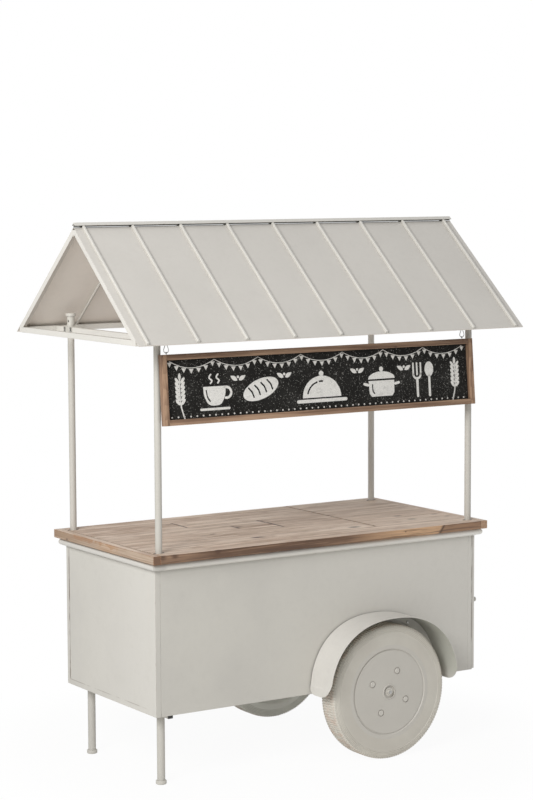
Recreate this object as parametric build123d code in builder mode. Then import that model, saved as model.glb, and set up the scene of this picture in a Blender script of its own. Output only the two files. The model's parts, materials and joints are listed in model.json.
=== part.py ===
"""Buffet kiosk: a wheeled cabinet with a plank counter, four posts, a gable roof and a hung board."""
import os
from math import asin, atan2, cos, degrees, pi, radians, sin, tan

from build123d import *

os.makedirs("parts", exist_ok=True)

# Driving dimensions in millimetres. X runs along the front, Y to the back, Z up from the ground.
total_height = 2000.0

# Cabinet frame and panels
cabinet_length = 1416.0
cabinet_width = 666.0
cabinet_bottom = 263.0
frame_tube = 20.0
frame_wall = 1.5
tube_corner = 2.0
weld_gap = 0.2
panel_sheet = 1.2
panel_flange = 10.0
panel_edge = 0.6
floor_sheet = 1.5
left_panel_gap = 5.0

# Counter
table_length = 1474.0
table_width = 746.0
table_top = 845.5
table_thickness = 30.5
batten_width = 30.0
front_board_width = 123.0
board_joint_x = 300.0
board_edge = 1.2
moulding_height = 30.0
moulding_projection = 21.0
moulding_nose = 12.0
mitre_gap = 0.2

# Posts and their sockets
post_spacing_x = 1368.0
post_spacing_y = 636.0
post_radius = 12.5
post_wall = 1.5
post_plug_depth = 12.0
socket_length = 44.0
socket_width = 24.0
socket_plate = 4.0
socket_play = 0.2
peg_radius = 10.9
peg_rise = 35.0
post_hole_radius = 12.7
screw_offset = 17.5
screw_radius = 1.9
screw_hole_radius = 2.0
screw_head_radius = 4.4
screw_head_height = 1.9
screw_sink_radius = 4.8
screw_proud = 1.0

# Legs
leg_x = -648.0
leg_spacing = 517.0
leg_radius = 14.5
leg_wall = 1.5
cross_tube_half = 325.0
cross_tube_height = 12.0
end_plug_face = 3.0
end_plug_depth = 12.0
end_plug_play = 0.1
foot_radius = 19.5
foot_height = 14.0
foot_round = 3.0
foot_base = 5.0
foot_bore_radius = 14.6

# Axle, mudguards and wheels. Distances across the kiosk are taken from its middle plane.
wheel_x = 234.0
wheel_radius = 252.5
axle_radius = 10.0
axle_collar_radius = 15.0
axle_collar = (345.0, 351.5)
axle_shoulder = 425.0
axle_thread_radius = 6.0
axle_end = 437.0
clamp_bore_radius = 10.1
clamp_thickness = 3.0
clamp_reach = 30.0
clamp_bolt_offset = 22.0
nut_flange_radius = 16.0
nut_flange = 3.0
nut_radius = 9.5
nut_height = 8.0
thread_play = 0.1
fender_half_length = 291.5
fender_rise = 285.5
fender_power = 2.3
fender_points = 24
fender_reach = 138.0
fender_gap = 4.0
fender_sheet = 1.6
fender_flange_radius = 265.0
fender_corner = 70.0
fender_inner_corner = 26.0
fender_end_rise = 2.0
fender_spacer_radius = 8.0
fender_bolt_radius = 275.0
fender_bolt_count = 5
fender_bolt_step = 33.0
hub_inner = 352.0
hub_outer = 424.5
hub_boss_radius = 25.0
hub_flange_radius = 105.0
hub_flange = 5.5
bush_outer_radius = 15.0
bush_inner_radius = 10.05
bush_fit = 0.05
disc_thickness = 4.0
disc_hole_radius = 26.0
rim_inner = 356.0
rim_barrel = (170.0, 174.0)
rim_lip_radius = 181.0
rim_lip = 4.0
rim_face_lip_radius = 159.0
disc_groove_radius = 156.0
disc_groove = 2.0
lug_circle_radius = 84.0
lug_count = 4
lug_start = 64.0
lug_sink_radius = 13.5
lug_sink_depth = 2.5
lug_head_radius = 10.0
lug_head_height = 4.5
lug_head_round = 2.0
lug_shank_radius = 5.0
lug_hole_radius = 5.1
lug_nut_radius = 9.0
lug_nut_height = 8.0
hub_ring_radius = 29.0
hub_ring_sleeve = (24.5, 25.9)
hub_ring_rise = 2.0
hub_ring_edge = 1.2
tyre_bead_radius = 174.2
tyre_bead_width = 10.0
tyre_side = (343.0, 433.0)
tyre_bead_side = (361.0, 427.0)
tyre_bulge_radius = 214.0
tyre_shoulder_radius = 249.0
tyre_shoulder_inset = 7.0
tyre_tread_inset = 13.0
tyre_wall = 9.5
tyre_side_round = 30.0
tyre_shoulder_round = 8.0
tread_groove_width = 5.0
tread_groove_depth = 3.0
tread_groove_spacing = 16.0
tread_groove_count = 3

# Roof
roof_length = 1672.0
roof_pitch = radians(40.7)
eave_half_width = 459.0
roof_frame_bottom = 1587.0
roof_sheet_thickness = 1.5
ridge_gap = 2.0
hem_width = 12.0
rib_width = 10.0
rib_height = 10.0
rib_round = 3.0
rib_count = 9
rib_pitch = 200.0
rib_top_margin = 4.0
rib_eave_margin = 3.0
ridge_leg = 14.0
ridge_sheet = 2.0
ridge_web_depth = 14.0
rafter_width = 15.0
rafter_depth = 18.0
inner_rafter_width = 6.0
inner_rafter_depth = 8.0
inner_rafter_x = 600.0
drain_hole_radius = 3.0
drain_hole_inset = 40.0
saddle_length = 58.0
saddle_sheet = 2.5
saddle_drop = 19.8
saddle_bolt_offset = 23.0
saddle_bolt_spacing = 10.0
stud_radius = 4.0
stud_hole_radius = 4.2
stud_end = 1570.0
thumb_neck_radius = 14.0
thumb_neck_height = 38.0
thumb_cap_radius = 19.0
thumb_cap_height = 11.0
thumb_edge = 1.5
thumb_hole_radius = 4.0
thumb_hole_turn = radians(20)
small_bolt_radius = 2.5
small_hole_radius = 2.6
small_head_radius = 4.6
small_head_height = 3.5
small_bolt_reach = 9.0

# Hanging board
board_length = 1360.0
board_height = 248.0
board_middle_x = -10.0
frame_face = 20.0
frame_depth = 25.0
panel_board = 6.0
rebate = 8.0
rebate_play = 0.2
eye_depth = 6.0
eye_rise = 6.0
eye_y = -353.7
eye_z = 1552.0
eye_places_x = (-668.0, 625.0)
eye_ring_radius = 2.9
eye_wire_radius = 1.0
eye_shank = 22.0
eye_hole_radius = 1.1
hang_bar_radius = 5.0
hang_bar_z = 1597.0
hook_wire_radius = 1.4
hook_ring_play = 0.4
pear_top_radius = 4.5
pear_foot_radius = 10.0
pear_spread = 14.5

# End door
door_depth = 10.0
door_gap = 1.0
door_side_gap = 2.0
door_top_gap = 2.0
door_bottom_gap = 4.0
hinge_heights = (350.0, 710.0)
hinge_height = 60.0
hinge_pin_x = 698.5
hinge_pin_y = 337.0
hinge_barrel_radius = 3.5
hinge_pin_radius = 2.0
hinge_bore_radius = 2.05
hinge_leaf_sheet = 2.0
hinge_leaf_reach = 28.0
hinge_knuckle_gap = 0.4
hinge_pin_head = 1.5
knob_y = -313.0
knob_z = 532.0
knob_radius = 9.5
knob_neck_radius = 5.0
knob_projection = 19.0
knob_head = 12.0
knob_round = 5.0
knob_stud_radius = 2.0
knob_hole_radius = 2.1
knob_nut_radius = 4.5
knob_nut_height = 4.0
catch_z = 640.0
catch_width = 10.0
catch_height = 40.0
catch_clearance = 0.5

# Places worked out from the driving dimensions
half_width = cabinet_width / 2
frame_left = -cabinet_length / 2
frame_right = cabinet_length / 2 - door_depth - door_gap
frame_middle = (frame_left + frame_right) / 2
frame_span = frame_right - frame_left
table_bottom = table_top - table_thickness
top_rail_bottom = table_bottom - frame_tube
bottom_rail_top = cabinet_bottom + frame_tube
rail_set_back = panel_sheet + weld_gap
panel_height = top_rail_bottom - bottom_rail_top
panel_middle = (top_rail_bottom + bottom_rail_top) / 2
moulding_bottom = table_bottom - moulding_height
post_foot = table_bottom + socket_plate
post_points = [
    (sx * post_spacing_x / 2, sy * post_spacing_y / 2) for sx in (-1, 1) for sy in (-1, 1)
]
axle_z = wheel_radius
disc_face = hub_outer + disc_thickness
lug_seat = disc_face - lug_sink_depth
roof_frame_top = roof_frame_bottom + frame_tube
roof_frame_middle = roof_frame_bottom + frame_tube / 2
apex = total_height - (rib_height + ridge_sheet) / cos(roof_pitch)
slope_length = eave_half_width / cos(roof_pitch)
under_apex = apex - roof_sheet_thickness / cos(roof_pitch)
eave_rail_y = (under_apex - roof_frame_top) / tan(roof_pitch) - frame_tube / 2
tie_half = eave_rail_y - frame_tube / 2 - weld_gap
gable_tie_x = roof_length / 2 - frame_tube / 2
gable_rafter_x = roof_length / 2 - rafter_width / 2
thumb_base = roof_frame_top + saddle_sheet


def save(piece, name):
    piece.part.label = name
    export_step(piece.part, f"parts/{name}.step")


def tube_section():
    RectangleRounded(frame_tube, frame_tube, tube_corner)
    inside = frame_tube - 2 * frame_wall
    RectangleRounded(inside, inside, tube_corner - frame_wall, mode=Mode.SUBTRACT)


# Cabinet frame: four corner posts with closed feet under a ring of top rails
with BuildPart() as corner_posts:
    with BuildSketch(Plane((frame_middle, 0, cabinet_bottom))):
        with GridLocations(frame_span - frame_tube, cabinet_width - frame_tube, 2, 2):
            tube_section()
    extrude(amount=top_rail_bottom - cabinet_bottom)
    with BuildSketch(Plane((frame_middle, 0, cabinet_bottom))):
        with GridLocations(frame_span - frame_tube, cabinet_width - frame_tube, 2, 2):
            RectangleRounded(frame_tube, frame_tube, tube_corner)
    extrude(amount=frame_wall)
save(corner_posts, "corner_posts")


def rail_ring(height, length, set_back):
    with BuildPart() as rails:
        with BuildSketch(Plane.YZ.offset(frame_middle)):
            with Locations((0, height)):
                with GridLocations(cabinet_width - frame_tube - 2 * set_back, 0, 2, 1):
                    tube_section()
        extrude(amount=length / 2, both=True)
        with BuildSketch(Plane.XZ):
            with Locations((frame_middle, height)):
                with GridLocations(frame_span - frame_tube, 0, 2, 1):
                    tube_section()
        extrude(amount=half_width - frame_tube - weld_gap, both=True)
        # Holes for the axle clamp bolts in the lower wall of the bottom rails
        with BuildSketch(Plane((wheel_x, 0, cabinet_bottom))):
            with GridLocations(2 * clamp_bolt_offset, cabinet_width - frame_tube, 2, 2):
                Circle(small_hole_radius)
        extrude(amount=frame_wall, mode=Mode.SUBTRACT)
    return rails


# The bottom rails lie between the posts, set back behind the panel sheets
bottom_rail_length = frame_span - 2 * (frame_tube + weld_gap)
save(rail_ring(cabinet_bottom + frame_tube / 2, bottom_rail_length, rail_set_back), "bottom_rails")
save(rail_ring(top_rail_bottom + frame_tube / 2, frame_span, 0), "top_rails")


def fender_bolt_places():
    span = fender_bolt_step * (fender_bolt_count - 1)
    return PolarLocations(
        fender_bolt_radius, fender_bolt_count, 90 - span / 2, span, endpoint=True
    )


def wall_panel(side):
    """Folded sheet tray between the corner posts with a skirt over the bottom rail."""
    with BuildPart() as panel:
        with BuildSketch(Plane.XZ.offset(-side * half_width)):
            with Locations((frame_middle, panel_middle)):
                Rectangle(frame_span - 2 * frame_tube, panel_height)
        extrude(amount=side * panel_flange)
        by_depth = panel.faces().sort_by(Axis.Y)
        offset(amount=-panel_sheet, openings=by_depth[0] if side > 0 else by_depth[-1])
        outer_edges = panel.edges().group_by(Axis.Y)[-1 if side > 0 else 0]
        chamfer(outer_edges.sort_by(Axis.Z)[1:], panel_edge)
        with BuildSketch(Plane.XZ.offset(-side * half_width)):
            with Locations((frame_middle, bottom_rail_top + panel_sheet)):
                Rectangle(
                    frame_span - 2 * frame_tube - 2 * panel_edge,
                    frame_tube + panel_sheet - weld_gap,
                    align=(Align.CENTER, Align.MAX),
                )
        extrude(amount=side * panel_sheet)
        with BuildSketch(Plane.XZ.offset(-side * half_width)):
            with Locations((wheel_x, axle_z)):
                with fender_bolt_places():
                    Circle(small_hole_radius)
        extrude(amount=side * panel_sheet, mode=Mode.SUBTRACT)
    return panel


save(wall_panel(-1), "front_panel")
save(wall_panel(1), "rear_panel")

# The left end sheet lies over the front corner post and leaves a slit beside the rear one
with BuildPart() as left_panel:
    with BuildSketch(Plane.YZ.offset(frame_left - panel_sheet)):
        with Locations((-half_width, cabinet_bottom)):
            Rectangle(
                cabinet_width - frame_tube - left_panel_gap,
                moulding_bottom - cabinet_bottom,
                align=(Align.MIN, Align.MIN),
            )
    extrude(amount=panel_sheet)
    chamfer(left_panel.edges().group_by(Axis.X)[0], panel_edge)
save(left_panel, "left_panel")

with BuildPart() as floor_panel:
    with BuildSketch(Plane((frame_middle, 0, bottom_rail_top - tube_corner - floor_sheet))):
        Rectangle(frame_span - 2 * frame_tube, cabinet_width - 2 * (frame_tube + rail_set_back))
    extrude(amount=floor_sheet)
save(floor_panel, "floor_panel")


# Bullnose moulding round the top of the cabinet, in four mitred lengths
def moulding_piece(outline, run, outward, outer):
    with BuildPart() as piece:
        with BuildSketch(Plane.XY.offset(moulding_bottom)):
            with BuildLine():
                Polyline(*outline, close=True)
            make_face()
        extrude(amount=moulding_height)
        fillet(piece.edges().filter_by(run).group_by(outward)[outer], moulding_nose)
    return piece.part


nose_x = cabinet_length / 2 + moulding_projection
nose_y = half_width + moulding_projection
with BuildPart() as edge_moulding:
    for side, outer in ((-1, 0), (1, -1)):
        add(
            moulding_piece(
                [
                    (-nose_x + mitre_gap, side * nose_y),
                    (nose_x - mitre_gap, side * nose_y),
                    (frame_right - mitre_gap, side * half_width),
                    (frame_left + mitre_gap, side * half_width),
                ],
                Axis.X,
                Axis.Y,
                outer,
            )
        )
    for edge_x, tip_x, outer in ((frame_left, -nose_x, 0), (frame_right, nose_x, -1)):
        add(
            moulding_piece(
                [
                    (tip_x, -nose_y + mitre_gap),
                    (tip_x, nose_y - mitre_gap),
                    (edge_x, half_width - mitre_gap),
                    (edge_x, -half_width + mitre_gap),
                ],
                Axis.Y,
                Axis.X,
                outer,
            )
        )
save(edge_moulding, "edge_moulding")


# Counter: a front board, two fields of boards behind it and a batten across each end
def table_board(low_x, high_x, low_y, high_y):
    with BuildPart() as board:
        with BuildSketch(Plane(((low_x + high_x) / 2, (low_y + high_y) / 2, table_bottom))):
            Rectangle(high_x - low_x, high_y - low_y)
        extrude(amount=table_thickness)
        chamfer(board.edges().group_by(Axis.Z)[-1], board_edge)
        for x, y in post_points:
            if low_x < x < high_x and low_y < y < high_y:
                with BuildSketch(Plane((x, y, table_bottom))):
                    Rectangle(socket_length, socket_width)
                extrude(amount=socket_plate, mode=Mode.SUBTRACT)
                with BuildSketch(Plane((x, y, table_bottom))):
                    Circle(post_hole_radius)
                extrude(amount=table_thickness, mode=Mode.SUBTRACT)
                with Locations((x - screw_offset, y, table_top), (x + screw_offset, y, table_top)):
                    CounterSinkHole(screw_hole_radius, screw_sink_radius)
    return board


field_x = table_length / 2 - batten_width
front_y = -table_width / 2
joint_y = front_y + front_board_width
save(table_board(-field_x, field_x, front_y, joint_y), "tabletop_front_board")
save(table_board(-field_x, board_joint_x, joint_y, -front_y), "tabletop_left_boards")
save(table_board(board_joint_x, field_x, joint_y, -front_y), "tabletop_right_boards")

with BuildPart() as end_battens:
    with BuildSketch(Plane.XY.offset(table_bottom)):
        with GridLocations(table_length - batten_width, 0, 2, 1):
            Rectangle(batten_width, table_width)
    extrude(amount=table_thickness)
    chamfer(end_battens.edges().group_by(Axis.Z)[-1], board_edge)
save(end_battens, "end_battens")

screw_points = [(x + s * screw_offset, y) for x, y in post_points for s in (-1, 1)]
screw_top = table_top + screw_proud
with BuildPart() as table_screws:
    with Locations(*[(x, y, table_bottom) for x, y in screw_points]):
        Cylinder(
            screw_radius,
            screw_top - table_bottom,
            align=(Align.CENTER, Align.CENTER, Align.MIN),
        )
    with Locations(*[(x, y, screw_top) for x, y in screw_points]):
        Cone(
            screw_radius,
            screw_head_radius,
            screw_head_height,
            align=(Align.CENTER, Align.CENTER, Align.MAX),
        )
save(table_screws, "table_screws")

with BuildPart() as post_sockets:
    with BuildSketch(Plane.XY.offset(table_bottom)):
        with Locations(*post_points):
            Rectangle(socket_length - socket_play, socket_width - socket_play)
        with Locations(*screw_points):
            Circle(screw_hole_radius, mode=Mode.SUBTRACT)
    extrude(amount=socket_plate)
    with BuildSketch(Plane.XY.offset(post_foot)):
        with Locations(*post_points):
            Circle(peg_radius)
    extrude(amount=table_top - post_foot + peg_rise)
save(post_sockets, "post_sockets")


# Posts: tubes that stand on the socket plates, with a threaded plug welded in the top
def post(x, y):
    with BuildPart() as tube:
        with BuildSketch(Plane((x, y, post_foot))):
            Circle(post_radius)
            Circle(post_radius - post_wall, mode=Mode.SUBTRACT)
        extrude(amount=roof_frame_bottom - post_foot)
        with BuildSketch(Plane((x, y, roof_frame_bottom - post_plug_depth))):
            Circle(post_radius - post_wall / 2)
            Circle(stud_hole_radius, mode=Mode.SUBTRACT)
        extrude(amount=post_plug_depth)
    return tube


for x, y in post_points:
    depth_word = "front" if y < 0 else "rear"
    side_word = "left" if x < 0 else "right"
    save(post(x, y), f"{depth_word}_{side_word}_post")


# Saddles over the roof ties and the thumb screws that hold them down on the posts, each with a bar hole
def saddle_bolt_circles(radius):
    with Locations((0, roof_frame_middle)):
        with GridLocations(post_spacing_y, 0, 2, 1):
            with GridLocations(2 * saddle_bolt_offset, saddle_bolt_spacing, 2, 2):
                Circle(radius)


with BuildPart() as post_saddles:
    with BuildSketch(Plane.XZ):
        with GridLocations(post_spacing_x, 0, 2, 1):
            with Locations((0, roof_frame_top + saddle_sheet)):
                Rectangle(
                    frame_tube + 2 * saddle_sheet,
                    saddle_sheet + saddle_drop,
                    align=(Align.CENTER, Align.MAX),
                )
            with Locations((0, roof_frame_top)):
                Rectangle(
                    frame_tube, saddle_drop, align=(Align.CENTER, Align.MAX), mode=Mode.SUBTRACT
                )
    extrude(amount=(post_spacing_y + saddle_length) / 2, both=True)
    with BuildSketch(Plane.XZ):
        with Locations((0, roof_frame_middle)):
            Rectangle(roof_length, 2 * frame_tube)
    extrude(amount=(post_spacing_y - saddle_length) / 2, both=True, mode=Mode.SUBTRACT)
    with BuildSketch(Plane.XY.offset(roof_frame_top)):
        with Locations(*post_points):
            Circle(stud_hole_radius)
    extrude(amount=saddle_sheet, mode=Mode.SUBTRACT)
    with BuildSketch(Plane.YZ):
        saddle_bolt_circles(small_hole_radius)
    extrude(amount=roof_length / 2, both=True, mode=Mode.SUBTRACT)
save(post_saddles, "post_saddles")

with BuildPart() as thumb_screws:
    with BuildSketch(Plane.XY.offset(stud_end)):
        with Locations(*post_points):
            Circle(stud_radius)
    extrude(amount=thumb_base - stud_end)
    with BuildSketch(Plane.XY.offset(thumb_base)):
        with Locations(*post_points):
            Circle(thumb_neck_radius)
    extrude(amount=thumb_neck_height)
    with BuildSketch(Plane.XY.offset(thumb_base + thumb_neck_height)):
        with Locations(*post_points):
            Circle(thumb_cap_radius)
    extrude(amount=thumb_cap_height)
    fillet(thumb_screws.edges().group_by(Axis.Z)[-1], thumb_edge)
    bar_line = (cos(thumb_hole_turn), sin(thumb_hole_turn), 0)
    for x, y in post_points:
        with BuildSketch(Plane((x, y, thumb_base + thumb_neck_height / 2), z_dir=bar_line)):
            Circle(thumb_hole_radius)
        extrude(amount=thumb_cap_radius, both=True, mode=Mode.SUBTRACT)
save(thumb_screws, "thumb_screws")

# Legs: a flat cross tube under the floor with two round legs in foot caps
leg_top = cabinet_bottom - cross_tube_height
cross_tube_middle = (leg_x, cabinet_bottom - cross_tube_height / 2)
cross_tube_inside = (frame_tube - 2 * frame_wall, cross_tube_height - 2 * frame_wall)
leg_points = [(leg_x, -leg_spacing / 2), (leg_x, leg_spacing / 2)]
with BuildPart() as leg_cross_tube:
    with BuildSketch(Plane.XZ):
        with Locations(cross_tube_middle):
            RectangleRounded(frame_tube, cross_tube_height, tube_corner)
            RectangleRounded(*cross_tube_inside, tube_corner - frame_wall, mode=Mode.SUBTRACT)
    extrude(amount=cross_tube_half, both=True)
save(leg_cross_tube, "leg_cross_tube")

with BuildPart() as tube_end_plugs:
    plug_inside = [size - 2 * end_plug_play for size in cross_tube_inside]
    for side in (-1, 1):
        with BuildSketch(Plane.XZ.offset(-side * cross_tube_half)):
            with Locations(cross_tube_middle):
                RectangleRounded(frame_tube, cross_tube_height, tube_corner)
        extrude(amount=-side * end_plug_face)
        with BuildSketch(Plane.XZ.offset(-side * cross_tube_half)):
            with Locations(cross_tube_middle):
                RectangleRounded(*plug_inside, tube_corner - frame_wall)
        extrude(amount=side * end_plug_depth)
save(tube_end_plugs, "tube_end_plugs")

with BuildPart() as legs:
    with BuildSketch(Plane.XY.offset(foot_base)):
        with Locations(*leg_points):
            Circle(leg_radius)
            Circle(leg_radius - leg_wall, mode=Mode.SUBTRACT)
    extrude(amount=leg_top - foot_base)
save(legs, "legs")

with BuildPart() as foot_caps:
    with BuildSketch():
        with Locations(*leg_points):
            Circle(foot_radius)
    extrude(amount=foot_height)
    fillet(foot_caps.edges().filter_by(GeomType.CIRCLE), foot_round)
    with BuildSketch(Plane.XY.offset(foot_base)):
        with Locations(*leg_points):
            Circle(foot_bore_radius)
    extrude(amount=foot_height - foot_base, mode=Mode.SUBTRACT)
save(foot_caps, "foot_caps")


# Axle with a collar inside each wheel, held up by strap clamps, with a flanged nut at each end
def across(side, distance):
    """Plane square to the axle, facing outwards at the given distance from the middle."""
    return Plane((wheel_x, side * distance, axle_z), x_dir=(-side, 0, 0), z_dir=(0, side, 0))


with BuildPart() as axle:
    with BuildSketch(across(1, 0)):
        Circle(axle_radius)
    extrude(amount=axle_shoulder, both=True)
    for side in (-1, 1):
        with BuildSketch(across(side, axle_collar[0])):
            Circle(axle_collar_radius)
        extrude(amount=axle_collar[1] - axle_collar[0])
        with BuildSketch(across(side, axle_shoulder)):
            Circle(axle_thread_radius)
        extrude(amount=axle_end - axle_shoulder)
save(axle, "axle")

with BuildPart() as axle_clamps:
    for side in (-1, 1):
        with BuildSketch(across(side, half_width - frame_tube)):
            Circle(clamp_bore_radius + clamp_thickness)
            with Locations((0, cabinet_bottom - axle_z)):
                Rectangle(2 * clamp_reach, clamp_thickness, align=(Align.CENTER, Align.MAX))
                Rectangle(
                    2 * clamp_reach, clamp_reach, align=(Align.CENTER, Align.MIN), mode=Mode.SUBTRACT
                )
            Circle(clamp_bore_radius, mode=Mode.SUBTRACT)
            Rectangle(
                2 * clamp_bore_radius,
                clamp_reach,
                align=(Align.CENTER, Align.MIN),
                mode=Mode.SUBTRACT,
            )
        extrude(amount=frame_tube)
    with BuildSketch(Plane.XY.offset(cabinet_bottom - clamp_thickness)):
        with Locations((wheel_x, 0)):
            with GridLocations(2 * clamp_bolt_offset, cabinet_width - frame_tube, 2, 2):
                Circle(small_hole_radius)
    extrude(amount=clamp_thickness, mode=Mode.SUBTRACT)
save(axle_clamps, "axle_clamps")

with BuildPart() as axle_nuts:
    for side in (-1, 1):
        with BuildSketch(across(side, axle_shoulder)):
            Circle(nut_flange_radius)
            Circle(axle_thread_radius + thread_play, mode=Mode.SUBTRACT)
        extrude(amount=nut_flange)
        with BuildSketch(across(side, axle_shoulder + nut_flange)):
            RegularPolygon(nut_radius, 6)
            Circle(axle_thread_radius + thread_play, mode=Mode.SUBTRACT)
        extrude(amount=nut_height)
save(axle_nuts, "axle_nuts")


# Wheels and mudguards have profiles with the distance from the middle plane across and the height up
def wheel_profile(side):
    return Plane((wheel_x, 0, axle_z), x_dir=(0, side, 0), z_dir=(side, 0, 0))


# Mudguards: bands a little squarer than a half round, with rounded corners and an inner flange that
# spacers hold off the wall panel
def arch(inset):
    """Face under the band, closed along the level of the axle."""
    half_length = fender_half_length - inset
    rise = fender_rise - inset
    power = 2 / fender_power
    points = [(half_length, 0)]
    for step in range(1, fender_points):
        turn = pi * step / fender_points
        reach = abs(cos(turn)) ** power * half_length
        points.append((reach if cos(turn) > 0 else -reach, sin(turn) ** power * rise))
    points.append((-half_length, 0))
    with BuildSketch() as under:
        with BuildLine():
            Spline(*points, tangents=[(0, 1), (0, -1)])
            Line(points[-1], points[0])
        make_face()
    return under.sketch


def fender(side):
    end_z = cabinet_bottom - axle_z + fender_end_rise
    flange_low = end_z + fender_inner_corner
    with BuildPart() as band:
        with BuildSketch(wheel_profile(side)) as outline:
            with Locations((half_width + fender_gap, end_z)):
                Rectangle(fender_reach - fender_gap, 2 * fender_rise, align=(Align.MIN, Align.MIN))
            fillet(outline.vertices().group_by(Axis.Y)[0].sort_by(Axis.X)[-1], fender_corner)
            fillet(outline.vertices().group_by(Axis.Y)[0].sort_by(Axis.X)[0], fender_inner_corner)
        extrude(amount=2 * fender_half_length, both=True)
        with BuildSketch(across(side, 0)):
            add(arch(0))
            add(arch(fender_sheet), mode=Mode.SUBTRACT)
        extrude(amount=2 * half_width, mode=Mode.INTERSECT)
        with BuildSketch(across(side, half_width + fender_gap)):
            add(arch(fender_sheet / 2))
            Circle(fender_flange_radius, mode=Mode.SUBTRACT)
            Rectangle(
                3 * fender_half_length,
                flange_low,
                align=(Align.CENTER, Align.MIN),
                mode=Mode.SUBTRACT,
            )
            with fender_bolt_places():
                Circle(small_hole_radius, mode=Mode.SUBTRACT)
        extrude(amount=fender_sheet)
        with BuildSketch(across(side, half_width)):
            with fender_bolt_places():
                Circle(fender_spacer_radius)
                Circle(small_hole_radius, mode=Mode.SUBTRACT)
        extrude(amount=fender_gap)
    return band


save(fender(-1), "front_fender")
save(fender(1), "rear_fender")


axle_line = Axis((wheel_x, 0, axle_z), (0, 1, 0))


def turned(side, points, lug_holes=()):
    """Piece turned about the axle; each lug hole is a radius and the two distances it is cut between."""
    with BuildPart() as piece:
        with BuildSketch(wheel_profile(side)):
            with BuildLine():
                Polyline(*points, close=True)
            make_face()
        revolve(axis=axle_line)
        for radius, start, end in lug_holes:
            with BuildSketch(across(side, start)):
                with PolarLocations(lug_circle_radius, lug_count, lug_start):
                    Circle(radius)
            extrude(amount=end - start, mode=Mode.SUBTRACT)
    return piece


def tyre(side):
    low, high = tyre_side
    low_bead, high_bead = tyre_bead_side
    middle = (low + high) / 2
    with BuildPart() as ring:
        with BuildSketch(wheel_profile(side)) as section:
            with BuildLine():
                Polyline(
                    (low_bead, tyre_bead_radius),
                    (low_bead, rim_lip_radius),
                    (low, tyre_bulge_radius),
                    (low + tyre_shoulder_inset, tyre_shoulder_radius),
                    (low + tyre_tread_inset, wheel_radius),
                    (high - tyre_tread_inset, wheel_radius),
                    (high - tyre_shoulder_inset, tyre_shoulder_radius),
                    (high, tyre_bulge_radius),
                    (high_bead, rim_lip_radius),
                    (high_bead, tyre_bead_radius),
                    (high_bead - tyre_bead_width, tyre_bead_radius),
                    (high - tyre_wall, tyre_bulge_radius),
                    (high - tyre_tread_inset, wheel_radius - tyre_wall),
                    (low + tyre_tread_inset, wheel_radius - tyre_wall),
                    (low + tyre_wall, tyre_bulge_radius),
                    (low_bead + tyre_bead_width, tyre_bead_radius),
                    close=True,
                )
            make_face()
            bulge = section.vertices().group_by(Axis.X)
            fillet(bulge[0] + bulge[-1], tyre_side_round)
            fillet(section.vertices().group_by(Axis.Y)[-2], tyre_shoulder_round)
            with Locations((middle, wheel_radius)):
                with GridLocations(tread_groove_spacing, 0, tread_groove_count, 1):
                    Rectangle(tread_groove_width, 2 * tread_groove_depth, mode=Mode.SUBTRACT)
        revolve(axis=axle_line)
    return ring


def rim(side):
    barrel_in, barrel_out = rim_barrel
    face_lip = disc_face + rim_lip / 2
    points = [
        (hub_outer, disc_hole_radius),
        (disc_face, disc_hole_radius),
        (disc_face, disc_groove_radius),
        (disc_face - disc_groove, disc_groove_radius),
        (disc_face - disc_groove, rim_face_lip_radius),
        (face_lip, rim_face_lip_radius + rim_lip),
        (face_lip, rim_lip_radius - rim_lip),
        (disc_face - rim_lip / 4, rim_lip_radius),
        (tyre_bead_side[1], rim_lip_radius),
        (tyre_bead_side[1], barrel_out),
        (tyre_bead_side[0], barrel_out),
        (tyre_bead_side[0], rim_lip_radius),
        (rim_inner, rim_lip_radius),
        (rim_inner, barrel_in),
        (hub_outer, barrel_in),
    ]
    holes = [(lug_hole_radius, hub_outer, disc_face), (lug_sink_radius, lug_seat, disc_face)]
    return turned(side, points, holes)


def hub(side):
    flange_face = hub_outer - hub_flange
    points = [
        (hub_inner, bush_outer_radius + bush_fit),
        (hub_outer, bush_outer_radius + bush_fit),
        (hub_outer, hub_flange_radius),
        (flange_face, hub_flange_radius),
        (flange_face, hub_boss_radius),
        (hub_inner, hub_boss_radius),
    ]
    return turned(side, points, [(lug_hole_radius, flange_face, hub_outer)])


def bush(side):
    points = [
        (hub_inner, bush_inner_radius),
        (hub_outer, bush_inner_radius),
        (hub_outer, bush_outer_radius),
        (hub_inner, bush_outer_radius),
    ]
    return turned(side, points)


def lug_bolts(side):
    nut_face = hub_outer - hub_flange
    with BuildPart() as bolts:
        with BuildSketch(across(side, nut_face - lug_nut_height)):
            with PolarLocations(lug_circle_radius, lug_count, lug_start):
                Circle(lug_shank_radius)
        extrude(amount=lug_seat - nut_face + lug_nut_height)
        with BuildSketch(across(side, lug_seat)):
            with PolarLocations(lug_circle_radius, lug_count, lug_start):
                Circle(lug_head_radius)
        extrude(amount=lug_head_height)
        crowns = bolts.faces().group_by(Axis.Y)[-1 if side > 0 else 0]
        fillet(crowns.edges(), lug_head_round)
        with BuildSketch(across(side, nut_face)):
            with PolarLocations(lug_circle_radius, lug_count, lug_start):
                RegularPolygon(lug_nut_radius, 6)
                Circle(lug_hole_radius, mode=Mode.SUBTRACT)
        extrude(amount=-lug_nut_height)
    return bolts


def hub_ring(side):
    inside, outside = hub_ring_sleeve
    lip = disc_face + hub_ring_rise
    points = [
        (hub_outer, inside),
        (lip, inside),
        (lip, hub_ring_radius - hub_ring_edge),
        (lip - hub_ring_edge, hub_ring_radius),
        (disc_face, hub_ring_radius),
        (disc_face, outside),
        (hub_outer, outside),
    ]
    return turned(side, points)


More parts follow.
